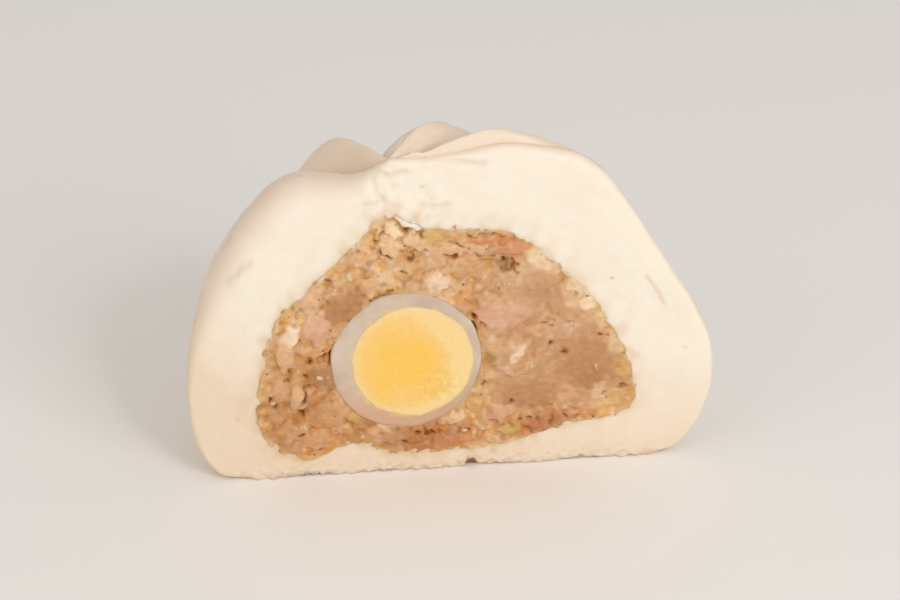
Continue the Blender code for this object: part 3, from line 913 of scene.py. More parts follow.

# %% Lumps placed from a list
# Each lump: its place, half its length and width, its turn in degrees, how far it stands out,
# its tone.
LUMPS = (
    (-9.0, 46.4, 1.7, 1.2, -35, 0.7, CREAM), (-9.7, 43.2, 2.5, 2.2, -30, 0.8, PEACH),
    (-5.8, 48.4, 2.6, 1.9, -18, 0.55, TONGUE),
    (-5.0, 43.9, 2.9, 1.3, -25, 0.75, PEACH), (-1.5, 44.6, 3.3, 1.5, 5, 0.35, GOLD),
    (0.3, 42.4, 1.9, 1.4, 0, 0.5, PEACH), (-1.3, 35.9, 2.0, 1.7, 10, 0.35, FAT),
    (-17.4, 32.4, 3.9, 3.0, 40, 0.5, BROWN), (-23.0, 34.2, 2.8, 2.1, 35, 0.6, PEACH),
    (-22.3, 28.2, 2.4, 2.8, 0, 0.45, ROSY), (-26.6, 27.4, 1.5, 2.1, -10, 0.65, FAT),
    (-17.2, 26.6, 1.8, 2.2, 0, 0.3, TAN), (-20.6, 19.5, 3.1, 2.6, 0, 0.4, BROWN),
    (-27.6, 23.5, 1.6, 3.0, 0, 0.6, PEACH), (-28.6, 17.0, 1.5, 2.6, 5, 0.6, PEACH),
    (-25.6, 15.4, 1.6, 2.4, -5, 0.6, CREAM), (-20.5, 11.6, 3.3, 2.4, 0, 0.45, TAN),
    (-27.0, 8.5, 2.0, 2.0, 0, 0.5, TAN), (-22.5, 6.8, 2.5, 1.6, 0, 0.4, TAN),
    (-16.1, 11.0, 1.2, 1.0, 0, 0.3, GOLD), (-13.0, 9.8, 1.1, 0.9, 0, 0.3, BROWN),
    (-8.0, 6.4, 5.0, 1.2, 0, 0.35, PINK), (1.0, 5.4, 3.1, 1.0, 5, 0.3, RUST),
    (1.4, 9.7, 1.9, 1.2, 10, 0.35, CREAM), (5.0, 12.5, 1.4, 1.1, 0, 0.3, GOLD),
    (9.5, 10.2, 2.0, 1.8, 0, 0.5, ROSY), (15.2, 7.9, 1.8, 1.0, 5, 0.5, RUST),
    (17.4, 7.1, 1.5, 1.2, 10, 0.5, ROSY), (20.1, 7.8, 1.5, 1.0, 0, 0.45, RUST),
    (22.4, 9.4, 2.1, 0.9, 20, 0.4, RUST), (11.2, 6.6, 2.2, 0.9, 0, 0.3, OLIVE),
    (11.2, 41.8, 3.2, 1.4, -8, 0.4, RUST), (5.0, 42.6, 3.2, 1.5, 5, 0.35, PEACH),
    (8.0, 43.4, 5.2, 0.55, 0, 0.35, EMBER),
    (16.8, 39.0, 3.3, 2.3, -30, 0.4, CREAM), (22.5, 33.8, 2.2, 1.4, -40, 0.35, CREAM),
    (24.4, 30.4, 1.7, 1.3, -45, 0.35, CREAM), (26.7, 27.3, 1.7, 1.3, -50, 0.35, STRAW),
    (15.6, 35.0, 3.6, 2.6, -20, 0.2, PASTE), (4.0, 38.0, 3.0, 1.7, 10, 0.25, TAN),
    (10.4, 38.8, 2.0, 1.1, -50, 0.25, MUSHROOM),
    (10.0, 29.2, 5.0, 2.7, 10, 0.25, ROSY), (20.7, 25.4, 2.2, 2.0, 0, 0.45, ROSY),
    (24.6, 19.5, 5.6, 4.8, 0, 0.35, PASTE_DARK), (12.4, 21.3, 2.6, 0.8, 50, 0.45, CREAM),
    (14.3, 18.8, 2.6, 0.7, 35, 0.45, GOLD), (10.2, 18.6, 1.9, 0.7, -40, 0.4, ROSY),
    (16.4, 21.8, 2.2, 0.8, 60, 0.35, TAN), (14.0, 14.0, 4.6, 2.8, 0, 0.25, PASTE_DARK),
    (29.2, 11.8, 2.2, 1.6, 20, 0.4, GOLD), (26.6, 13.2, 1.6, 1.4, 0, 0.4, CREAM),
    (31.0, 17.5, 1.3, 2.3, 5, 0.4, GOLD), (29.4, 22.6, 1.5, 2.6, 10, 0.35, STRAW),
    (8.0, 21.3, 0.9, 0.5, -55, 0.55, GREEN), (-9.0, 48.5, 0.7, 0.45, -60, 0.5, EMBER),
)

# Each crevice: its width, its depth, and the line it follows.
CREVICES = (
    (0.35, 0.6, ((-9.2, 49.0), (-8.5, 47.8), (-7.4, 46.7))),
    (0.50, 0.9, ((-6.9, 46.2), (-4.1, 45.9), (-4.2, 44.9))),
    (0.40, 0.9, ((-10.6, 46.0), (-11.5, 45.4), (-11.9, 44.0), (-10.8, 42.2), (-9.5, 41.2))),
    (0.30, 0.6, ((-7.5, 41.9), (-5.5, 42.0), (-3.5, 42.4))),
    (0.35, 0.7, ((0.1, 44.1), (2.3, 43.0), (3.6, 42.2))),
    (0.30, 0.5, ((3.8, 44.2), (8.5, 44.7), (13.5, 43.5))),
    (0.30, 0.4, ((5.0, 40.6), (8.4, 40.3))),
    (0.40, 1.0, ((-13.0, 33.2), (-10.3, 34.4), (-9.1, 34.8))),
    (0.45, 1.2, ((-18.8, 25.4), (-20.3, 23.4), (-22.0, 22.7), (-23.6, 22.3))),
    (0.60, 1.3, ((4.4, 29.4), (5.2, 28.4), (6.4, 27.2))),
    (0.45, 1.0, ((-23.9, 17.4), (-24.3, 15.5), (-24.9, 13.8), (-24.8, 12.2))),
    (0.50, 1.0, ((-30.1, 15.4), (-29.3, 13.1))),
    (0.40, 0.8, ((-5.4, 7.2), (-3.6, 7.3), (-1.7, 6.9))),
    (0.40, 0.6, ((2.2, 7.3), (3.6, 7.0))),
    (0.30, 0.5, ((6.8, 18.2), (6.5, 16.6), (6.3, 15.0))),
    (0.35, 0.5, ((16.6, 27.2), (18.6, 27.1))),
    (0.35, 0.5, ((20.9, 27.0), (22.1, 26.9))),
    (0.35, 0.6, ((12.8, 8.8), (14.8, 8.8), (16.0, 8.3))),
    (0.30, 0.5, ((18.6, 9.2), (18.4, 7.4))),
    (0.30, 0.5, ((20.8, 9.2), (21.4, 8.6))),
    (0.30, 0.5, ((27.4, 13.0), (28.0, 11.8))),
    (0.40, 0.7, ((30.0, 13.9), (31.2, 13.9))),
    (0.55, 0.6, ((9.2, 40.3), (10.2, 39.2), (10.8, 38.0))),
    (0.45, 0.6, ((11.3, 39.6), (11.9, 38.3), (11.8, 36.9))),
    (0.35, 0.4, ((8.6, 39.2), (9.4, 38.2), (9.9, 37.2))),
)

# Each shade: a place where the meat is darker with juice, or paler with fat, how far that spreads
# and how much lighter it makes the tone. Juice takes more of the blue than of the red.
SHADE_COLOUR = np.array([0.65, 1.1, 1.5])
SHADES = (
    (-25.5, 14.5, 5.5, -0.30), (-4.0, 6.5, 6.0, -0.40), (17.0, 7.0, 3.5, -0.44), (26.0, 14.5, 3.0, -0.26),
    (10.7, 38.4, 1.6, -0.14), (18.0, 30.5, 3.0, -0.10), (-17.0, 6.5, 3.0, -0.16), (7.5, 7.0, 2.5, 0.18),
    (-12.5, 42.5, 4.0, 0.18), (-4.5, 45.0, 4.0, 0.12), (22.5, 30.0, 3.0, 0.20), (27.5, 10.0, 3.0, 0.26),
    (13.5, 36.5, 3.0, 0.18), (9.0, 27.5, 4.0, 0.10), (-24.0, 29.0, 3.5, 0.12),
)

# How much more red and how much less green and blue the meat shows at the bottom of a hollow.
DEEP_COLOUR = np.array([0.09, -0.05, -0.38])

# Each pit: its place and its radius.
PITS = (
    (-6.1, 41.0, 0.55), (-7.2, 38.4, 0.4), (1.5, 41.0, 0.45), (-20.1, 37.6, 0.5), (-24.1, 19.5, 0.5),
    (-26.8, 20.6, 0.35), (-27.1, 19.0, 0.35), (-24.8, 12.3, 0.6), (-25.1, 8.3, 0.5), (-21.7, 5.0, 0.4),
    (-7.3, 5.7, 0.5), (-20.0, 22.1, 0.5), (9.5, 34.5, 0.3), (18.3, 23.2, 0.5), (20.4, 21.4, 0.6),
    (26.9, 24.2, 0.45), (27.9, 24.3, 0.35), (30.9, 20.3, 0.3), (11.4, 12.6, 0.4), (-16.4, 29.5, 0.35),
    (10.0, 39.6, 0.5), (11.4, 38.4, 0.55), (10.4, 37.8, 0.35),
)

# %% [markdown]
# The lumps' cells come from points on a shaken grid, so that they are uneven in size but never
# slivers. Their borders are bent by ripples first, because a straight border looks like cracked
# mud. The relief, the tone and the two masks all come from the same cells, which keeps the painted
# shade in each crevice exactly where the crevice is.

# %% Cells and paste
COARSE_CELL = 4.0
FINE_CELL = 1.7
SHALLOW, DEEP = 0.08, -0.60
LOWEST, HIGHEST = -1.7, 1.25


def shaken_grid(spacing, seed):
    draw = np.random.default_rng(seed)
    across, up = np.meshgrid(np.arange(-34.0, 36.0, spacing), np.arange(1.0, 52.0, spacing))
    up = up + 0.5 * spacing * (np.arange(across.shape[1]) % 2)
    grid = np.stack([across, up], axis=-1).reshape(-1, 2)
    return grid + draw.uniform(-0.42, 0.42, grid.shape) * spacing


def wandered(place, reach, size, seed):
    """The places moved about by ripples, which bends whatever is drawn from them."""
    moved = [ripples(place, size, seed=seed), ripples(place, size, seed=seed + 1)]
    return place + reach * np.stack(moved, axis=-1)


def painted_shade_over(tint, wet, colour, part):
    """The tone and the wetness, where a dry colour of painted shade covers part of the meat."""
    return blend(tint, colour, part), wet * (1.0 - part)


def pressed_smooth(place, off_edge):
    """Where the mince was pressed into a smooth paste, from 0 to 1."""
    u, v = place[:, 0], place[:, 1]
    paste = smoothstep(u, 3.0, 12.0) * smoothstep(v, 8.0, 14.0) * smoothstep(v, 41.0, 35.0)
    return paste * smoothstep(off_edge, 0.8, 4.0)


# %% The crowd of lumps
def crowd_of_lumps(place, off_edge, crumbly):
    """How far each point stands out and its tone, before anything is placed by hand."""
    u, v = place[:, 0], place[:, 1]
    draw = np.random.default_rng(31)
    coarse = shaken_grid(COARSE_CELL, seed=34)
    near, far, which, beside = cells(wandered(place, 0.7, 3.4, 32), coarse)
    coarse_height = draw.uniform(0.2, 1.0, len(coarse))[which]
    coarse_gap = far - near
    fine = shaken_grid(FINE_CELL, seed=37)
    near, far, which_fine, beside_fine = cells(wandered(place, 0.3, 1.5, 35), fine)
    fine_height = draw.uniform(0.0, 1.0, len(fine))[which_fine]
    fine_gap = far - near

    lumps = 0.85 * coarse_height * (1.0 - close_to(coarse_gap, 1.6))
    crumbs = 0.08 * fine_height * (1.0 - close_to(fine_gap, 0.8))
    soft = layered(place, ((0.12, 6.0, 38), (0.04, 1.6, 39)), 0.34)
    relief = -0.30 + crumbly * (lumps + crumbs) + (1.0 - crumbly) * soft
    relief = relief + crumbly * layered(place, ((0.18, 2.8, 58), (0.02, 1.2, 59)))
    relief = relief + 0.015 * ripples(place, 0.6, seed=40)

    # Each lump has its own tone, which runs a little into the next one's, as juices do.
    palette = np.array([TAN, PEACH, TAN, PEACH, PINK, BROWN, GOLD, TAN, CREAM])
    coarse_tones = palette[draw.integers(0, len(palette), len(coarse))]
    fine_tones = palette[draw.integers(0, len(palette), len(fine))]
    tint = blend(coarse_tones[which], coarse_tones[beside], 0.5 * np.exp(-coarse_gap / 0.7))
    small = blend(fine_tones[which_fine], fine_tones[beside_fine], 0.5 * np.exp(-fine_gap / 0.35))
    tint = blend(tint, small, 0.22)
    tint = blend(tint, TAN, 0.35)
    swirl = smoothstep(ripples(wandered(place, 1.2, 5.0, 57), 5.0, seed=41), -0.6, 1.4)
    paste = blend(PASTE, PEACH, 0.8 * swirl)
    tint = blend(tint, paste, (1.0 - crumbly) * 0.9)
    paler = smoothstep(v - 0.45 * u, 22.0, 50.0)
    tint = blend(tint, CREAM, 0.36 * paler)
    tint = blend(tint, RUST, 0.16 * smoothstep(u, 14.0, 26.0) * smoothstep(v, 28.0, 20.0))
    rim = smoothstep(off_edge, 1.8, 0.0) * (0.5 + 0.5 * ripples(place, 3.0, seed=42)).clip(0.0, 1.0)
    tint = blend(tint, CREAM, 0.55 * rim)
    oily = smoothstep(off_edge, 3.0, 1.0) * (0.35 - 0.8 * ripples(place, 3.0, seed=42)).clip(0.0, 1.0)
    tint = blend(tint, GOLD, 0.6 * oily)
    # Painted shade darkens the gaps between the coarse lumps, where the relief also sinks.
    between = close_to(coarse_gap, 0.75) * (-0.2 + 0.9 * ripples(place, 3.5, seed=43)).clip(0.0, 1.0)
    tint = blend(tint, CREVICE_SHADE, 0.35 * between * crumbly)
    relief = relief - 0.20 * between * crumbly

    # Over the lumps lies a mottling of pale and dark meat, and of the yellow of its fat.
    clouds = ripples(wandered(place, 0.8, 3.0, 65), 3.4, seed=67)
    clouds = layered(place, ((0.7, 1.7, 68), (0.25, 0.85, 69), (0.5, 6.5, 70)), clouds)
    strength = 0.62 + 0.38 * crumbly
    tint = blend(tint, CREAM, 0.60 * smoothstep(clouds, 0.4, 2.2) * strength)
    tint = blend(tint, BROWN, 0.75 * smoothstep(clouds, -0.4, -2.0) * strength)
    fatty = smoothstep(ripples(wandered(place, 0.8, 3.0, 72), 4.5, seed=74), 0.8, 1.9)
    return relief, blend(tint, GOLD, 0.55 * fatty * crumbly)


# %% The lumps and shades from the lists
def place_lumps(place, relief, tint, crumbly, smooth_paste):
    """The relief and the tone with the listed lumps and shades, and how loosely the meat lies."""
    torn = wandered(place, 0.30, 2.2, 53)
    mottle = layered(place, ((0.05, 2.2, 47), (0.025, 0.9, 48)), 1.0)[:, None]
    loose = crumbly.copy()
    for x, y, long, wide, turn, stand, colour in LUMPS:
        spin = math.radians(turn)
        along = (torn[:, 0] - x) * math.cos(spin) + (torn[:, 1] - y) * math.sin(spin)
        across = -(torn[:, 0] - x) * math.sin(spin) + (torn[:, 1] - y) * math.cos(spin)
        size = np.hypot(along / long, across / wide) + 0.08 * ripples(place, 1.8, seed=int(abs(x * 10)) + 50)
        near = np.flatnonzero(size < 2.0)
        fibres = np.zeros(len(place))
        fibres[near] = ripples(np.stack([0.3 * along[near], across[near]], axis=-1), 0.8, seed=54)
        body = smoothstep(size, 1.15, 0.80)
        dome = stand * np.sqrt(np.clip(1.0 - 0.7 * size**2, 0.0, 1.0)) - 0.05 + 0.03 * fibres
        relief = relief * (1.0 - body) + (0.95 * dome + 0.15 * relief) * body
        loose = loose * (1.0 - 0.85 * body)
        # Each lump is mottled and streaked along its fibres, and painted lighter on its upper side and darker
        # on its lower side, as light falls on it.
        lit = mottle * (1.0 + 0.05 * fibres + 0.07 * np.clip(across / wide, -1.0, 1.0))[:, None]
        softness = np.maximum(smooth_paste, 1.0 - stand / 0.6)
        soft_edge = smoothstep(size, 1.25 + 0.35 * softness, 0.75 - 0.35 * softness)
        tint = blend(tint, colour * lit, 0.85 * soft_edge)
        # Painted shade darkens the underside of each lump, where it also sinks.
        under = close_to(size - 1.12, 0.12) * smoothstep(across, 0.3 * wide, -wide)
        relief = relief - 0.10 * under
        tint = blend(tint, CREVICE_SHADE, 0.10 * under * crumbly)

    for x, y, spread, lighter in SHADES:
        here = close_to(np.hypot(torn[:, 0] - x, torn[:, 1] - y), spread)
        tint = tint * (1.0 + lighter * here[:, None] * SHADE_COLOUR)
    return relief, tint, loose


# %% The hollows from the lists
def sink_hollows(place, relief, tint, wet):
    """The relief, the tone and the wetness with the listed crevices and pits, sunk and painted dark."""
    wander = wandered(place, 0.25, 1.5, 50)
    strained = (0.55 + 0.55 * ripples(place, 1.6, seed=76)).clip(0.0, 1.0)
    # Each listed crevice and pit sinks, and painted shade darkens its bottom.
    for width, depth, line in CREVICES:
        near = along_line(wander, line)
        relief = relief - depth * strained * close_to(near, 0.75 * width)
        tint, wet = painted_shade_over(tint, wet, CREVICE_SHADE, 0.50 * strained * close_to(near, 1.1 * width))
        tint, wet = painted_shade_over(tint, wet, DARKEST_SHADE, 0.70 * strained * close_to(near, 0.45 * width))
    for x, y, radius in PITS:
        near = np.hypot(wander[:, 0] - x, wander[:, 1] - y) + 0.10 * ripples(place, 1.0, seed=52)
        relief = relief - 0.5 * close_to(near, 0.8 * radius)
        tint, wet = painted_shade_over(tint, wet, CREVICE_SHADE, 0.60 * close_to(near, 1.1 * radius))
        tint, wet = painted_shade_over(tint, wet, DARKEST_SHADE, 0.70 * close_to(near, 0.65 * radius))

    # Light that reaches the meat in a hollow has already passed through meat, so it is redder.
    deep = smoothstep(relief, SHALLOW, DEEP)
    tint = tint * (1.0 + deep[:, None] * DEEP_COLOUR)
    return relief, tint, wet * (1.0 - 0.5 * deep)


def mince_face(place, off_edge):
    """For each point of the cut: how far it stands out, its tone, how crumbly and how wet it is,
    and how loosely it lies."""
    smooth_paste = pressed_smooth(place, off_edge)
    crumbly = 1.0 - 0.9 * smooth_paste
    wet = 0.35 + 0.4 * (1.0 - crumbly) + 0.25 * ripples(place, 5.0, seed=45)
    relief, tint = crowd_of_lumps(place, off_edge, crumbly)
    relief, tint, loose = place_lumps(place, relief, tint, crumbly, smooth_paste)
    relief, tint, wet = sink_hollows(place, relief, tint, wet)
    relief = np.clip(relief, LOWEST, HIGHEST)
    return relief, tint.clip(0.0, 1.0), crumbly, wet.clip(0.0, 1.0), loose


# %% [markdown]
# The filling's mesh is a fan of rays from the edge of the egg's seat to the filling's outline. The
# rays are closer together where the outline is nearer, so that the squares stay alike. Its back
# and the seat are plain, since nobody sees them.

# %% The filling as one closed body
MINCE_RAYS = 900
MINCE_RINGS = 84
HIDDEN_RIM = 0.9
RIM_STEPS = 4000
BACK_STEPS = 10
SEAT_STEPS = 8
EGG_WOBBLE = 0.15

# Where the mince has come away from the egg: the angle round the egg, how far it spreads both
# ways in degrees, and how deep the gap is.
EGG_GAPS = ((172.0, 7.0, 1.1), (107.0, 9.0, 0.8), (27.0, 5.0, 1.2), (-78.0, 9.0, 0.5))

# Everywhere else the mince laps over the rounded edge of the egg white and dives under its face.
EGG_LAP = 0.4


def minced_pork(finish):
    centre = np.array(EGG_CENTRE)
    reach = outline_reach(FILLING_OUTLINE, EGG_CENTRE)
    turn = np.linspace(-math.pi, math.pi, RIM_STEPS)
    rim = way_of(turn) * reach(turn)[:, None]
    length = np.concatenate([[0.0], np.cumsum(np.hypot(*np.diff(rim, axis=0).T))])
    turn = np.interp(np.linspace(0.0, length[-1], MINCE_RAYS, endpoint=False), length, turn)
    way = way_of(turn)
    rim = centre + way * reach(turn)[:, None]
    frayed = layered(rim, ((0.22, 2.2, 61), (0.12, 0.8, 62)))
    outer = reach(turn) + HIDDEN_RIM + 0.5 * frayed
    gap = sum(depth * close_to(np.degrees(turn) - at, spread) for at, spread, depth in EGG_GAPS)
    lap = EGG_LAP * (1.0 - gap.clip(0.0, 1.0))
    seat = round_reach(EGG_RADIUS, EGG_WOBBLE)(turn) + 0.05 - lap

    share = np.linspace(0.0, 1.0, MINCE_RINGS + 1)[:, None]
    radius = seat * (1.0 - share) + outer * share
    place = (centre + way[None] * radius[..., None]).reshape(-1, 2)
    off_edge = (outer - radius).reshape(-1)
    relief, tint, crumbly, wet, loose = mince_face(place, off_edge)

    # At the outline the mince laps over the dough and then dives under it.
    near_edge = smoothstep(off_edge, HIDDEN_RIM + 1.5, HIDDEN_RIM)
    lapping = layered(place, ((0.11, 2.2, 64), (0.10, 5.0, 66)), 0.10)
    relief = relief * (1.0 - near_edge) + np.maximum(lapping + 0.3 * relief, -0.06) * near_edge
    relief = relief - 0.9 * smoothstep(off_edge, 0.45, 0.0)

    # At the egg it lies snug, but for the gaps.
    off_seat = (radius - seat).reshape(-1)
    gap = gap * (0.8 + 0.4 * ripples(way * EGG_RADIUS, 2.5, seed=63)).clip(0.0, 1.5)
    gap = np.broadcast_to(gap, radius.shape).reshape(-1)
    snug = smoothstep(off_seat, 0.0, 1.2)
    relief = relief * snug + 0.03 * (1.0 - snug) - gap * close_to(off_seat, 0.45)
    relief = relief - 0.5 * smoothstep(off_seat, 0.25, 0.0)

    made = Shell()
    front = np.stack([place[:, 0], -relief, place[:, 1]], axis=-1)
    rings = [made.add(ring) for ring in front.reshape(MINCE_RINGS + 1, MINCE_RAYS, 3)]
    for inner_ring, outer_ring in zip(rings[:-1], rings[1:]):
        made.strip(inner_ring, outer_ring)
    made.bowl(rings[-1], np.array(FILLING_CENTRE), FILLING_DEPTH, BACK_STEPS)
    made.bowl(rings[0], centre, EGG_DEPTH + CLEARANCE, SEAT_STEPS)

    # What can't be seen is plain.
    hidden = len(made.points) - len(place)
    plain = {"tint": (tint, TAN), "crumbly": (crumbly, 0.0), "wet": (wet, 0.3), "loose": (loose, 0.0)}
    marks = {name: np.concatenate([shown, [rest] * hidden]) for name, (shown, rest) in plain.items()}
    return make_piece("minced_pork", made.points, made.faces, finish, marks, MIDDLE)


# %% Mince finish
def mince_finish():
    made = Finish("minced pork")
    tint = made.mark("tint", "Color")
    crumbly = made.mark("crumbly")
    wet = made.mark("wet")
    fibres = made.noise(0.9, detail=5.0, roughness=0.65)
    grain = made.noise(0.28, detail=3.0)
    patches = made.noise(4.0, detail=3.0)
    colour = made.washed(
        tint,
        (tone(234, 194, 150), made.span(fibres, 0.52, 0.75, 0.0, 0.22)),
        (tone(170, 116, 70), made.span(fibres, 0.46, 0.28, 0.0, 0.22)),
        (tone(206, 160, 104), made.span(patches, 0.5, 0.7, 0.0, 0.2)),
    )
    coarse_bump = made.bump(fibres, 0.09, 0.5)
    fine_bump = made.bump(grain, 0.04, 0.4, coarse_bump)
    dryness = made.plus(made.span(wet, 0.0, 1.0, 0.56, 0.32), made.span(grain, 0.3, 0.7, -0.08, 0.08))
    dryness = made.plus(dryness, made.span(crumbly, 0.0, 1.0, -0.02, 0.04))
    return made.done(
        Base_Color=colour, Roughness=dryness, Normal=fine_bump, Subsurface_Weight=0.35,
        Subsurface_Radius=(1.0, 0.6, 0.35), Subsurface_Scale=0.0014,
        Specular_IOR_Level=made.span(wet, 0.0, 0.3, 0.08, 0.5),
        Coat_Weight=made.span(wet, 0.2, 1.0, 0.0, 0.5), Coat_Roughness=0.16, Coat_Normal=coarse_bump,
    )


mince = minced_pork(mince_finish())
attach(mince, "root")
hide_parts("filling")

# %% [markdown]
# ## The quail egg
# An egg is round about its axis, so half of it can be turned like a bowl on a lathe. A short tree of
# Geometry Nodes does that: it takes the profile, a flat curve that gives the distance from the
# axis and the depth behind the cut, and wraps a grid round the axis so that each column of the grid
# follows the profile. The grid's seam and its poles are then welded. The same tree turns the
# white, whose profile also runs down into the yolk's seat, and the yolk.

# %% A helper for trees
class Tree(Nodes):
    """A Geometry Nodes tree under construction. give declares an input, and run uses the tree."""

    def __init__(self, name):
        super().__init__(bpy.data.node_groups.new(name, "GeometryNodeTree"))
        self.tree.interface.new_socket(name="Geometry", in_out="OUTPUT", socket_type="NodeSocketGeometry")
        self.source = self.tree.nodes.new("NodeGroupInput")
        self.target = self.tree.nodes.new("NodeGroupOutput")
        self.names = {}

    def give(self, name, kind):
        socket = self.tree.interface.new_socket(name=name, in_out="INPUT", socket_type="NodeSocket" + kind)
        self.names[name] = socket.identifier
        return self.source.outputs[socket.identifier]

    def vector(self, x, y, z):
        return self.add("ShaderNodeCombineXYZ", inputs={0: x, 1: y, 2: z})

    def vectors(self, operation, first, second, output=0):
        return self.add("ShaderNodeVectorMath", output, {0: first, 1: second}, operation=operation)

    def scaled(self, vector, scale):
        return self.add("ShaderNodeVectorMath", operation="SCALE", inputs={0: vector, "Scale": scale})

    def parts(self, vector):
        node = self.tree.nodes.new("ShaderNodeSeparateXYZ")
        self.tree.links.new(vector, node.inputs[0])
        return node.outputs

    def noise(self, place, size_mm, detail=3.0):
        """Noise of -1 to 1 about that many millimetres across."""
        value = self.add("ShaderNodeTexNoise", output="Fac", inputs={
            "Vector": place, "Scale": 1000.0 / size_mm, "Detail": detail})
        return self.span(value, 0.25, 0.75, -1.0, 1.0)

    def chance(self, seed):
        """A random number of 0 to 1 for each point."""
        return self.add("FunctionNodeRandomValue", output=1, data_type="FLOAT", inputs={
            2: 0.0, 3: 1.0, "Seed": seed})

    def store(self, geometry, name, value, domain="POINT"):
        """Keeps a value on the geometry, where a finish can read it."""
        return self.add("GeometryNodeStoreNamedAttribute", data_type="FLOAT", domain=domain, inputs={
            "Geometry": geometry, "Name": name, "Value": value})

    def done(self, geometry, finish):
        geometry = self.add("GeometryNodeRealizeInstances", inputs={"Geometry": geometry})
        geometry = self.add("GeometryNodeSetShadeSmooth", inputs={"Geometry": geometry})
        geometry = self.add("GeometryNodeSetMaterial", inputs={"Geometry": geometry, "Material": finish})
        self.tree.links.new(geometry, self.target.inputs[0])
        return self

    def run(self, name, base, values):
        """The tree's result on the base mesh, as an object with a plain mesh."""
        piece = bpy.data.objects.new(name, base)
        bpy.context.scene.collection.objects.link(piece)
        grown = piece.modifiers.new(name, "NODES")
        grown.node_group = self.tree
        for key, value in values.items():
            grown[self.names[key]] = value
        bpy.context.view_layer.update()
        result = bpy.data.meshes.new_from_object(piece.evaluated_get(bpy.context.evaluated_depsgraph_get()))
        piece.modifiers.clear()
        piece.data = result
        face_outward(piece)
        return piece


# %% A tree that turns a profile round its axis
YOLK_EDGE = YOLK_RADIUS * MM
EGG_SHIFT = 0.0115
SHIFT_HALF = 0.0012
EGG_FACE_DEPTH = 0.0009
PATCH_OUTSIDE = 0.0048
PATCH_INSIDE = 0.0012
WELD = 0.000002


def lathe_tree():
    made = Tree("lathe")
    made.give("Geometry", "Geometry")
    profile = made.give("Profile", "Object")
    sides = made.give("Sides", "Int")
    steps = made.give("Steps", "Int")
    front_axis = made.give("Front Axis", "Vector")
    back_axis = made.give("Back Axis", "Vector")
    wobble = made.give("Wobble", "Float")
    grit = made.give("Grit", "Float")
    patch_place = made.give("Patch Place", "Vector")
    patch_grit = made.give("Patch Grit", "Float")
    finish = made.give("Finish", "Material")

    grid = made.tree.nodes.new("GeometryNodeMeshGrid")
    made.join(made.plus(sides, 1.0), grid.inputs["Vertices X"])
    made.join(steps, grid.inputs["Vertices Y"])
    flat = made.parts(made.add("GeometryNodeInputPosition"))
    turn = made.times(made.plus(flat[0], 0.5), 2.0 * math.pi)
    line = made.add("GeometryNodeObjectInfo", output="Geometry", inputs={"Object": profile})
    at = made.parts(made.add("GeometryNodeSampleCurve", output="Position", mode="FACTOR", inputs={
        "Curves": line, "Factor": made.plus(flat[1], 0.5)}))
    way_u = made.sums("COSINE", turn)
    way_v = made.sums("SINE", turn)

    # The radius wavers as the turn goes round, and hardly at the axis.
    waver = made.noise(made.scaled(made.vector(way_u, way_v, 0.0), 0.01), 5.0)
    share = made.sums("DIVIDE", at[0], YOLK_EDGE)
    radius = made.plus(at[0], made.times(made.times(waver, wobble), share))
    shift = made.span(at[0], EGG_SHIFT - SHIFT_HALF, EGG_SHIFT + SHIFT_HALF, kind="SMOOTHSTEP")
    axis = made.add("ShaderNodeMix", output=1, data_type="VECTOR", inputs={
        0: shift, 4: front_axis, 5: back_axis})
    place = made.vectors("ADD", axis, made.vector(made.times(radius, way_u), at[2], made.times(radius, way_v)))

    # The face is gritty, most of all in one crumbled patch. Its edge and its back are not.
    facing = made.span(at[2], EGG_FACE_DEPTH, 0.0, kind="SMOOTHSTEP")
    fine = made.times(made.noise(place, 1.1, 4.0), grit)
    off_patch = made.vectors("DISTANCE", place, patch_place, output="Value")
    patch = made.span(off_patch, PATCH_OUTSIDE, PATCH_INSIDE, kind="SMOOTHSTEP")
    crumbled = made.times(made.times(made.noise(place, 1.6, 2.0), patch_grit), patch)
    lift = made.times(made.plus(fine, crumbled), facing)
    placed = made.vectors("SUBTRACT", place, made.vector(0.0, lift, 0.0))

    # The marks are stored while the grid is still flat, because the fields are worked out from
    # the flat grid's own positions.
    body = made.store(grid.outputs["Mesh"], "from_axis", share)
    body = made.store(body, "crumbled", patch)
    body = made.add("GeometryNodeSetPosition", inputs={"Geometry": body, "Position": placed})
    body = made.add("GeometryNodeMergeByDistance", inputs={"Geometry": body, "Distance": WELD})
    return made.done(body, finish)


# %% The profiles of the white and the yolk
# Distance from the axis and depth behind the cut, in millimetres.
WHITE_PROFILE = (
    (0.0, 10.7), (4.0, 9.9), (7.4, 7.5), (9.2, 4.2), (9.8, 1.4), (9.9, 0.3), (10.05, 0.04),
    (10.6, -0.02), (12.0, -0.02), (12.75, 0.02), (13.0, 0.2), (13.05, 1.2), (12.5, 5.0), (10.6, 9.4),
    (7.2, 13.0), (3.4, 15.0), (0.0, 15.5),
)
YOLK_PROFILE = (
    (0.0, -0.14), (3.0, -0.12), (6.0, -0.10), (8.6, -0.11), (9.7, -0.10), (10.3, -0.06), (10.55, 0.04),
    (10.5, 0.4), (10.2, 1.4), (9.3, 4.2), (7.3, 7.3), (3.9, 9.8), (0.0, 10.6),
)


CORNER_PIECES = 30
CURVE_ROWS = 220


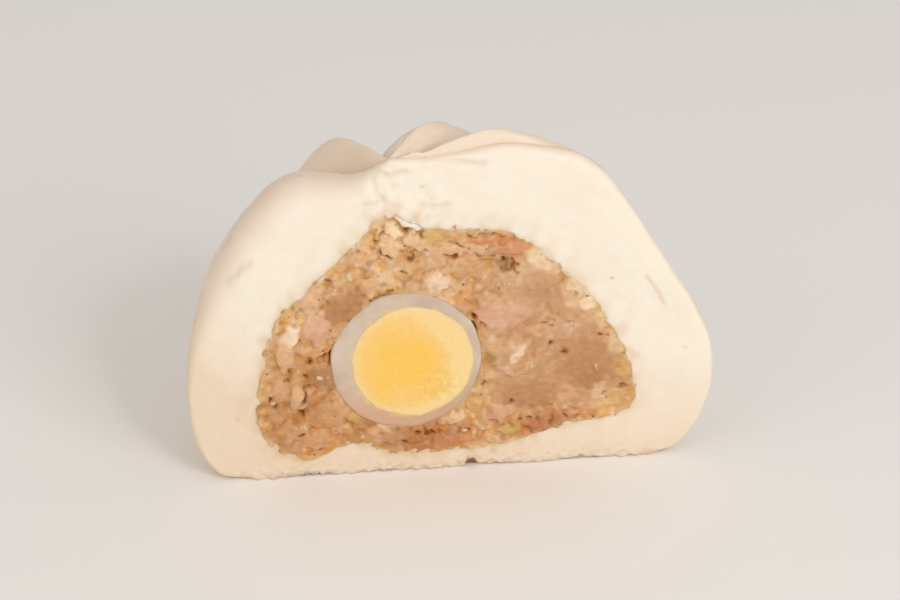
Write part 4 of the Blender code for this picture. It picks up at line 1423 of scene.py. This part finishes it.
def profile_curve(name, corners):
    """A flat curve of evenly spaced points through the corners."""
    radius, depth = evenly(curve_through(corners, CORNER_PIECES), CURVE_ROWS)
    curve = bpy.data.curves.new(name, "CURVE")
    curve.dimensions = "3D"
    spline = curve.splines.new("POLY")
    spline.points.add(len(radius) - 1)
    for point, r, d in zip(spline.points, radius, depth):
        point.co = (max(r, 0.0) * MM, 0.0, d * MM, 1.0)
    spline.points[0].co.x = 0.0
    spline.points[-1].co.x = 0.0
    holder = bpy.data.objects.new(name, curve)
    bpy.context.scene.collection.objects.link(holder)
    return holder


def spot(u, v):
    """A place on the cut in millimetres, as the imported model's metres."""
    return Vector(((u - MIDDLE) * MM + PACKED_MIDDLE, CUT_Y, v * MM))


# %% Egg finishes
def white_finish():
    made = Finish("boiled egg white")
    cloud = made.noise(5.0, detail=3.0)
    fine = made.noise(0.7, detail=3.0)
    sunk = made.plus(made.along("Z"), made.waver(6.0, 3.0 * MM))
    low_part = made.span(sunk, (EGG_CENTRE[1] - 3.0) * MM, (EGG_CENTRE[1] - 10.0) * MM)
    frayed = made.plus(made.mark("from_axis"), made.waver(3.0, 0.05, detail=4.0))
    colour = made.washed(
        tone(222, 204, 186),
        (tone(206, 184, 162), made.span(cloud, 0.35, 0.65)),
        (tone(216, 176, 146), low_part),
        (tone(250, 214, 140), made.span(frayed, 1.07, 1.00, 0.0, 0.85)),
    )
    waves = made.bump(made.noise(2.4, detail=2.0), 0.08, 0.5)
    return made.done(
        Base_Color=colour, Roughness=made.span(fine, 0.3, 0.7, 0.30, 0.40),
        Normal=made.bump(fine, 0.02, 0.3, waves),
        Subsurface_Weight=0.45, Subsurface_Radius=(1.0, 0.85, 0.75), Subsurface_Scale=0.0025,
        Specular_IOR_Level=0.45,
    )


def yolk_finish():
    made = Finish("boiled egg yolk")
    from_axis = made.mark("from_axis")
    grain = made.noise(0.8, detail=5.0, roughness=0.6)
    paler = made.span(made.along("X"), -12.0 * MM, 4.0 * MM, -0.16, 0.42)
    outward = made.plus(made.plus(from_axis, paler), made.waver(7.0, 0.16))
    frayed = made.plus(from_axis, made.waver(3.0, 0.05, detail=4.0))
    crumbled = made.times(made.mark("crumbled"), made.span(made.noise(1.2), 0.45, 0.62))
    colour = made.washed(
        tone(255, 206, 100),
        (tone(252, 212, 138), made.span(outward, 0.30, 0.90)),
        (tone(253, 222, 160), made.span(outward, 0.82, 0.98, 0.0, 0.8)),
        (tone(253, 222, 166), made.span(from_axis, 0.84, 1.0, 0.0, 0.5)),
        (tone(240, 216, 168), made.span(frayed, 0.98, 1.04, 0.0, 0.6)),
        (tone(238, 184, 70), made.span(grain, 0.56, 0.74, 0.0, 0.16)),
        (tone(254, 226, 150), made.span(grain, 0.44, 0.28, 0.0, 0.18)),
        (tone(236, 206, 90), made.times(crumbled, 0.6)),
    )
    rough = made.bump(grain, 0.10, 0.5)
    return made.done(
        Base_Color=colour, Roughness=made.span(grain, 0.3, 0.7, 0.66, 0.82),
        Normal=made.bump(made.noise(0.3), 0.04, 0.4, rough), Subsurface_Weight=0.25,
        Subsurface_Radius=(1.0, 0.7, 0.3), Subsurface_Scale=0.0015, Specular_IOR_Level=0.3,
    )


# %% Turn the white and the yolk
EGG_PARTS = (
    ("boiled_white", "egg_white", WHITE_PROFILE, white_finish(), {
        "Sides": 240, "Steps": 170, "Front Axis": spot(*YOLK_CENTRE), "Back Axis": spot(*EGG_CENTRE),
        "Wobble": 0.00012, "Grit": 0.00004, "Patch Place": spot(0.0, 0.0), "Patch Grit": 0.0}),
    ("boiled_yolk", "egg_yolk", YOLK_PROFILE, yolk_finish(), {
        "Sides": 260, "Steps": 170, "Front Axis": spot(*YOLK_CENTRE), "Back Axis": spot(*YOLK_CENTRE),
        "Wobble": 0.00034, "Grit": 0.00010, "Patch Place": spot(-1.1, 16.5), "Patch Grit": 0.00042}),
)
lathe = lathe_tree()
for name, node, corners, finish, settings in EGG_PARTS:
    profile = profile_curve(name + "_profile", corners)
    piece = lathe.run(name, bpy.data.meshes.new(name), {**settings, "Profile": profile, "Finish": finish})
    bpy.data.objects.remove(profile)
    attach(piece, "root")
    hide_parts(node)

# %% [markdown]
# ## Crumbs, pepper and onion
# Small loose things lie all over the torn mince, and no two are alike. A second tree scatters them:
# it takes a copy of a surface, drops points on it where a named mask allows, puts a small knobbly
# lump on each, turned and sized at random, and sinks it part of the way in. The lumps have few
# faces each, because there are hundreds. The same tree makes mince crumbs, pepper, onion and the
# crumbs of dough; only the sizes, the mask and the finish differ.

# %% A tree that scatters small lumps
def scatter_tree():
    made = Tree("scatter")
    surface = made.give("Surface", "Geometry")
    mask_name = made.give("Mask", "String")
    density = made.give("Number per Square Metre", "Float")
    spacing = made.give("Least Spacing", "Float")
    smallest = made.give("Smallest", "Float")
    largest = made.give("Largest", "Float")
    shape = made.give("Shape", "Vector")
    knobs = made.give("Knobs", "Float")
    sink = made.give("Sink", "Float")
    seed = made.give("Seed", "Int")
    finish = made.give("Finish", "Material")

    mask = made.add("GeometryNodeInputNamedAttribute", inputs={"Name": mask_name})
    drop = made.tree.nodes.new("GeometryNodeDistributePointsOnFaces")
    drop.distribute_method = "POISSON"
    for key, value in (("Mesh", surface), ("Distance Min", spacing), ("Density Max", density),
                       ("Density Factor", mask), ("Seed", seed)):
        made.join(value, drop.inputs[key])

    lump = made.add("GeometryNodeMeshIcoSphere", inputs={"Radius": 1.0, "Subdivisions": 2})
    at = made.add("GeometryNodeInputPosition")
    bumps = made.add("ShaderNodeTexNoise", output="Color", inputs={"Vector": at, "Scale": 1.1, "Detail": 1.0})
    bumps = made.vectors("SUBTRACT", bumps, (0.5, 0.5, 0.5))
    bumps = made.scaled(bumps, made.times(knobs, 4.0))
    lump = made.add("GeometryNodeSetPosition", inputs={"Geometry": lump, "Offset": bumps})
    lump = made.add("GeometryNodeTransform", inputs={"Geometry": lump, "Scale": shape})

    # Lumps grow from the smallest to the largest, with most of them small.
    chance = made.chance(seed=11)
    size = made.span(made.times(chance, chance), 0.0, 1.0, smallest, largest)
    tilt = made.add("FunctionNodeRandomValue", data_type="FLOAT_VECTOR", inputs={
        0: (-0.5, -0.5, -math.pi), 1: (0.5, 0.5, math.pi), "Seed": 12})
    turned = made.add("FunctionNodeRotateRotation", rotation_space="LOCAL", inputs={
        "Rotation": drop.outputs["Rotation"], "Rotate By": tilt})
    sunk = made.scaled(drop.outputs["Normal"], made.times(made.times(size, sink), -1.0))
    points = made.add("GeometryNodeSetPosition", inputs={"Geometry": drop.outputs["Points"], "Offset": sunk})
    many = made.add("GeometryNodeInstanceOnPoints", inputs={
        "Points": points, "Instance": lump, "Rotation": turned, "Scale": size})
    many = made.store(many, "shade", made.chance(seed=13), domain="INSTANCE")
    return made.done(many, finish)


# %% Finishes of the small lumps
def small_finish(name, dark, light, roughness, subsurface=0.15, glow=0.0008):
    """Each lump takes its own tone between two, with a little noise in it."""
    made = Finish(name)
    grain = made.noise(0.5, detail=3.0)
    colour = made.mix(dark, light, made.mark("shade"))
    colour = made.mix(colour, light, made.span(grain, 0.5, 0.7, 0.0, 0.4))
    return made.done(
        Base_Color=colour, Roughness=made.span(grain, 0.3, 0.7, roughness - 0.08, roughness + 0.08),
        Normal=made.bump(grain, 0.05, 0.5), Subsurface_Weight=subsurface,
        Subsurface_Radius=(1.0, 0.6, 0.35), Subsurface_Scale=glow, Specular_IOR_Level=0.5,
    )


# %% Where the small lumps may lie
def mask_on(piece, name, values):
    values = np.asarray(values, dtype=np.float32).clip(0.0, 1.0)
    piece.data.attributes.new(name, "FLOAT", "POINT").data.foreach_set("value", values)


def places_of(piece):
    """The piece's points as millimetres right, behind and up."""
    flat = np.empty(len(piece.data.vertices) * 3)
    piece.data.vertices.foreach_get("co", flat)
    at = flat.reshape(-1, 3) / MM
    return np.stack([at[:, 0] - PACKED_MIDDLE / MM + MIDDLE, at[:, 1] - CUT_Y / MM, at[:, 2]], axis=-1)


mince_at = places_of(mince)
front = smoothstep(mince_at[:, 1], 1.0, 0.5)
from_egg = np.hypot(mince_at[:, 0] - EGG_CENTRE[0], mince_at[:, 2] - EGG_CENTRE[1]) - EGG_RADIUS
on_face = front * smoothstep(from_egg, 0.3, 1.0)
loose = np.empty(len(mince_at), dtype=np.float32)
mince.data.attributes["loose"].data.foreach_get("value", loose)
patchy = smoothstep(ripples(mince_at[:, [0, 2]], 5.0, seed=71), -0.2, 0.9)
mask_on(mince, "crumbs_here", on_face * (0.04 + 0.9 * loose) * (0.15 + 0.85 * patchy))
mask_on(mince, "specks_here", on_face * (0.15 + 0.85 * loose))
mask_on(mince, "onion_here", on_face * smoothstep(ripples(mince_at[:, [0, 2]], 8.0, seed=72), 0.0, 1.0))

dough_at = places_of(dough)
low = smoothstep(dough_at[:, 2], 2.0, 0.4) * smoothstep(dough_at[:, 1], 0.9, 0.3)
low = low * smoothstep(dough_at[:, 2], 0.02, 0.1)
reach_at = outline_reach(FILLING_OUTLINE, FILLING_CENTRE)(
    np.arctan2(dough_at[:, 2] - FILLING_CENTRE[1], dough_at[:, 0] - FILLING_CENTRE[0]))
off_hollow = np.hypot(dough_at[:, 0] - FILLING_CENTRE[0], dough_at[:, 2] - FILLING_CENTRE[1]) - reach_at
near_mince = smoothstep(off_hollow, 2.0, 0.2) * smoothstep(dough_at[:, 1], 0.6, 0.3)
mask_on(dough, "rags_here", np.maximum(low, 0.35 * near_mince))

# %% Scatter them
# Each kind: its name, the piece it lies on, that piece's node, its finish and its settings.
SMALL_LUMPS = (
    ("mince_crumbs", mince, "filling",
     small_finish("mince crumbs", tone(192, 140, 94), tone(228, 184, 138), 0.45, 0.15, 0.0004), {
         "Mask": "crumbs_here", "Number per Square Metre": 190000.0, "Least Spacing": 0.0015,
         "Smallest": 0.00035, "Largest": 0.00120, "Shape": (1.0, 0.8, 0.6),
         "Knobs": 0.4, "Sink": 0.50, "Seed": 3}),
    ("pepper_flecks", mince, "filling",
     small_finish("pepper flecks", tone(96, 54, 20), tone(146, 94, 44), 0.7, 0.0), {
         "Mask": "specks_here", "Number per Square Metre": 50000.0, "Least Spacing": 0.0022,
         "Smallest": 0.00012, "Largest": 0.00034, "Shape": (1.0, 0.7, 0.4),
         "Knobs": 0.3, "Sink": 0.25, "Seed": 5}),
    ("onion_bits", mince, "filling",
     small_finish("onion bits", tone(224, 186, 142), tone(234, 204, 166), 0.35, 0.4, 0.0015), {
         "Mask": "onion_here", "Number per Square Metre": 26000.0, "Least Spacing": 0.0035,
         "Smallest": 0.0005, "Largest": 0.0010, "Shape": (1.2, 0.7, 0.35),
         "Knobs": 0.25, "Sink": 0.15, "Seed": 8}),
    ("dough_crumbs", dough, "dough",
     small_finish("dough crumbs", tone(240, 220, 190), tone(252, 240, 218), 0.65, 0.3), {
         "Mask": "rags_here", "Number per Square Metre": 260000.0, "Least Spacing": 0.0013,
         "Smallest": 0.00010, "Largest": 0.00038, "Shape": (1.0, 0.8, 0.6),
         "Knobs": 0.4, "Sink": 0.35, "Seed": 9}),
)
scatter = scatter_tree()
for name, surface, node, finish, settings in SMALL_LUMPS:
    piece = scatter.run(name, surface.data.copy(), {**settings, "Finish": finish})
    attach(piece, "root")
    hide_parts(node)

# %% [markdown]
# ## The finished size
# How far each corner of the dressed bun's box has moved from the imported one's is printed.
# The dressed bun must not outgrow the imported one.

# %% Sizes and the end
dressed_low, dressed_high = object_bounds()
for name, one, other in (("low", cad_low, dressed_low), ("high", cad_high, dressed_high)):
    print(name, "corner moved by", [round((b - a) / MM, 2) for a, b in zip(one, other)], "mm")
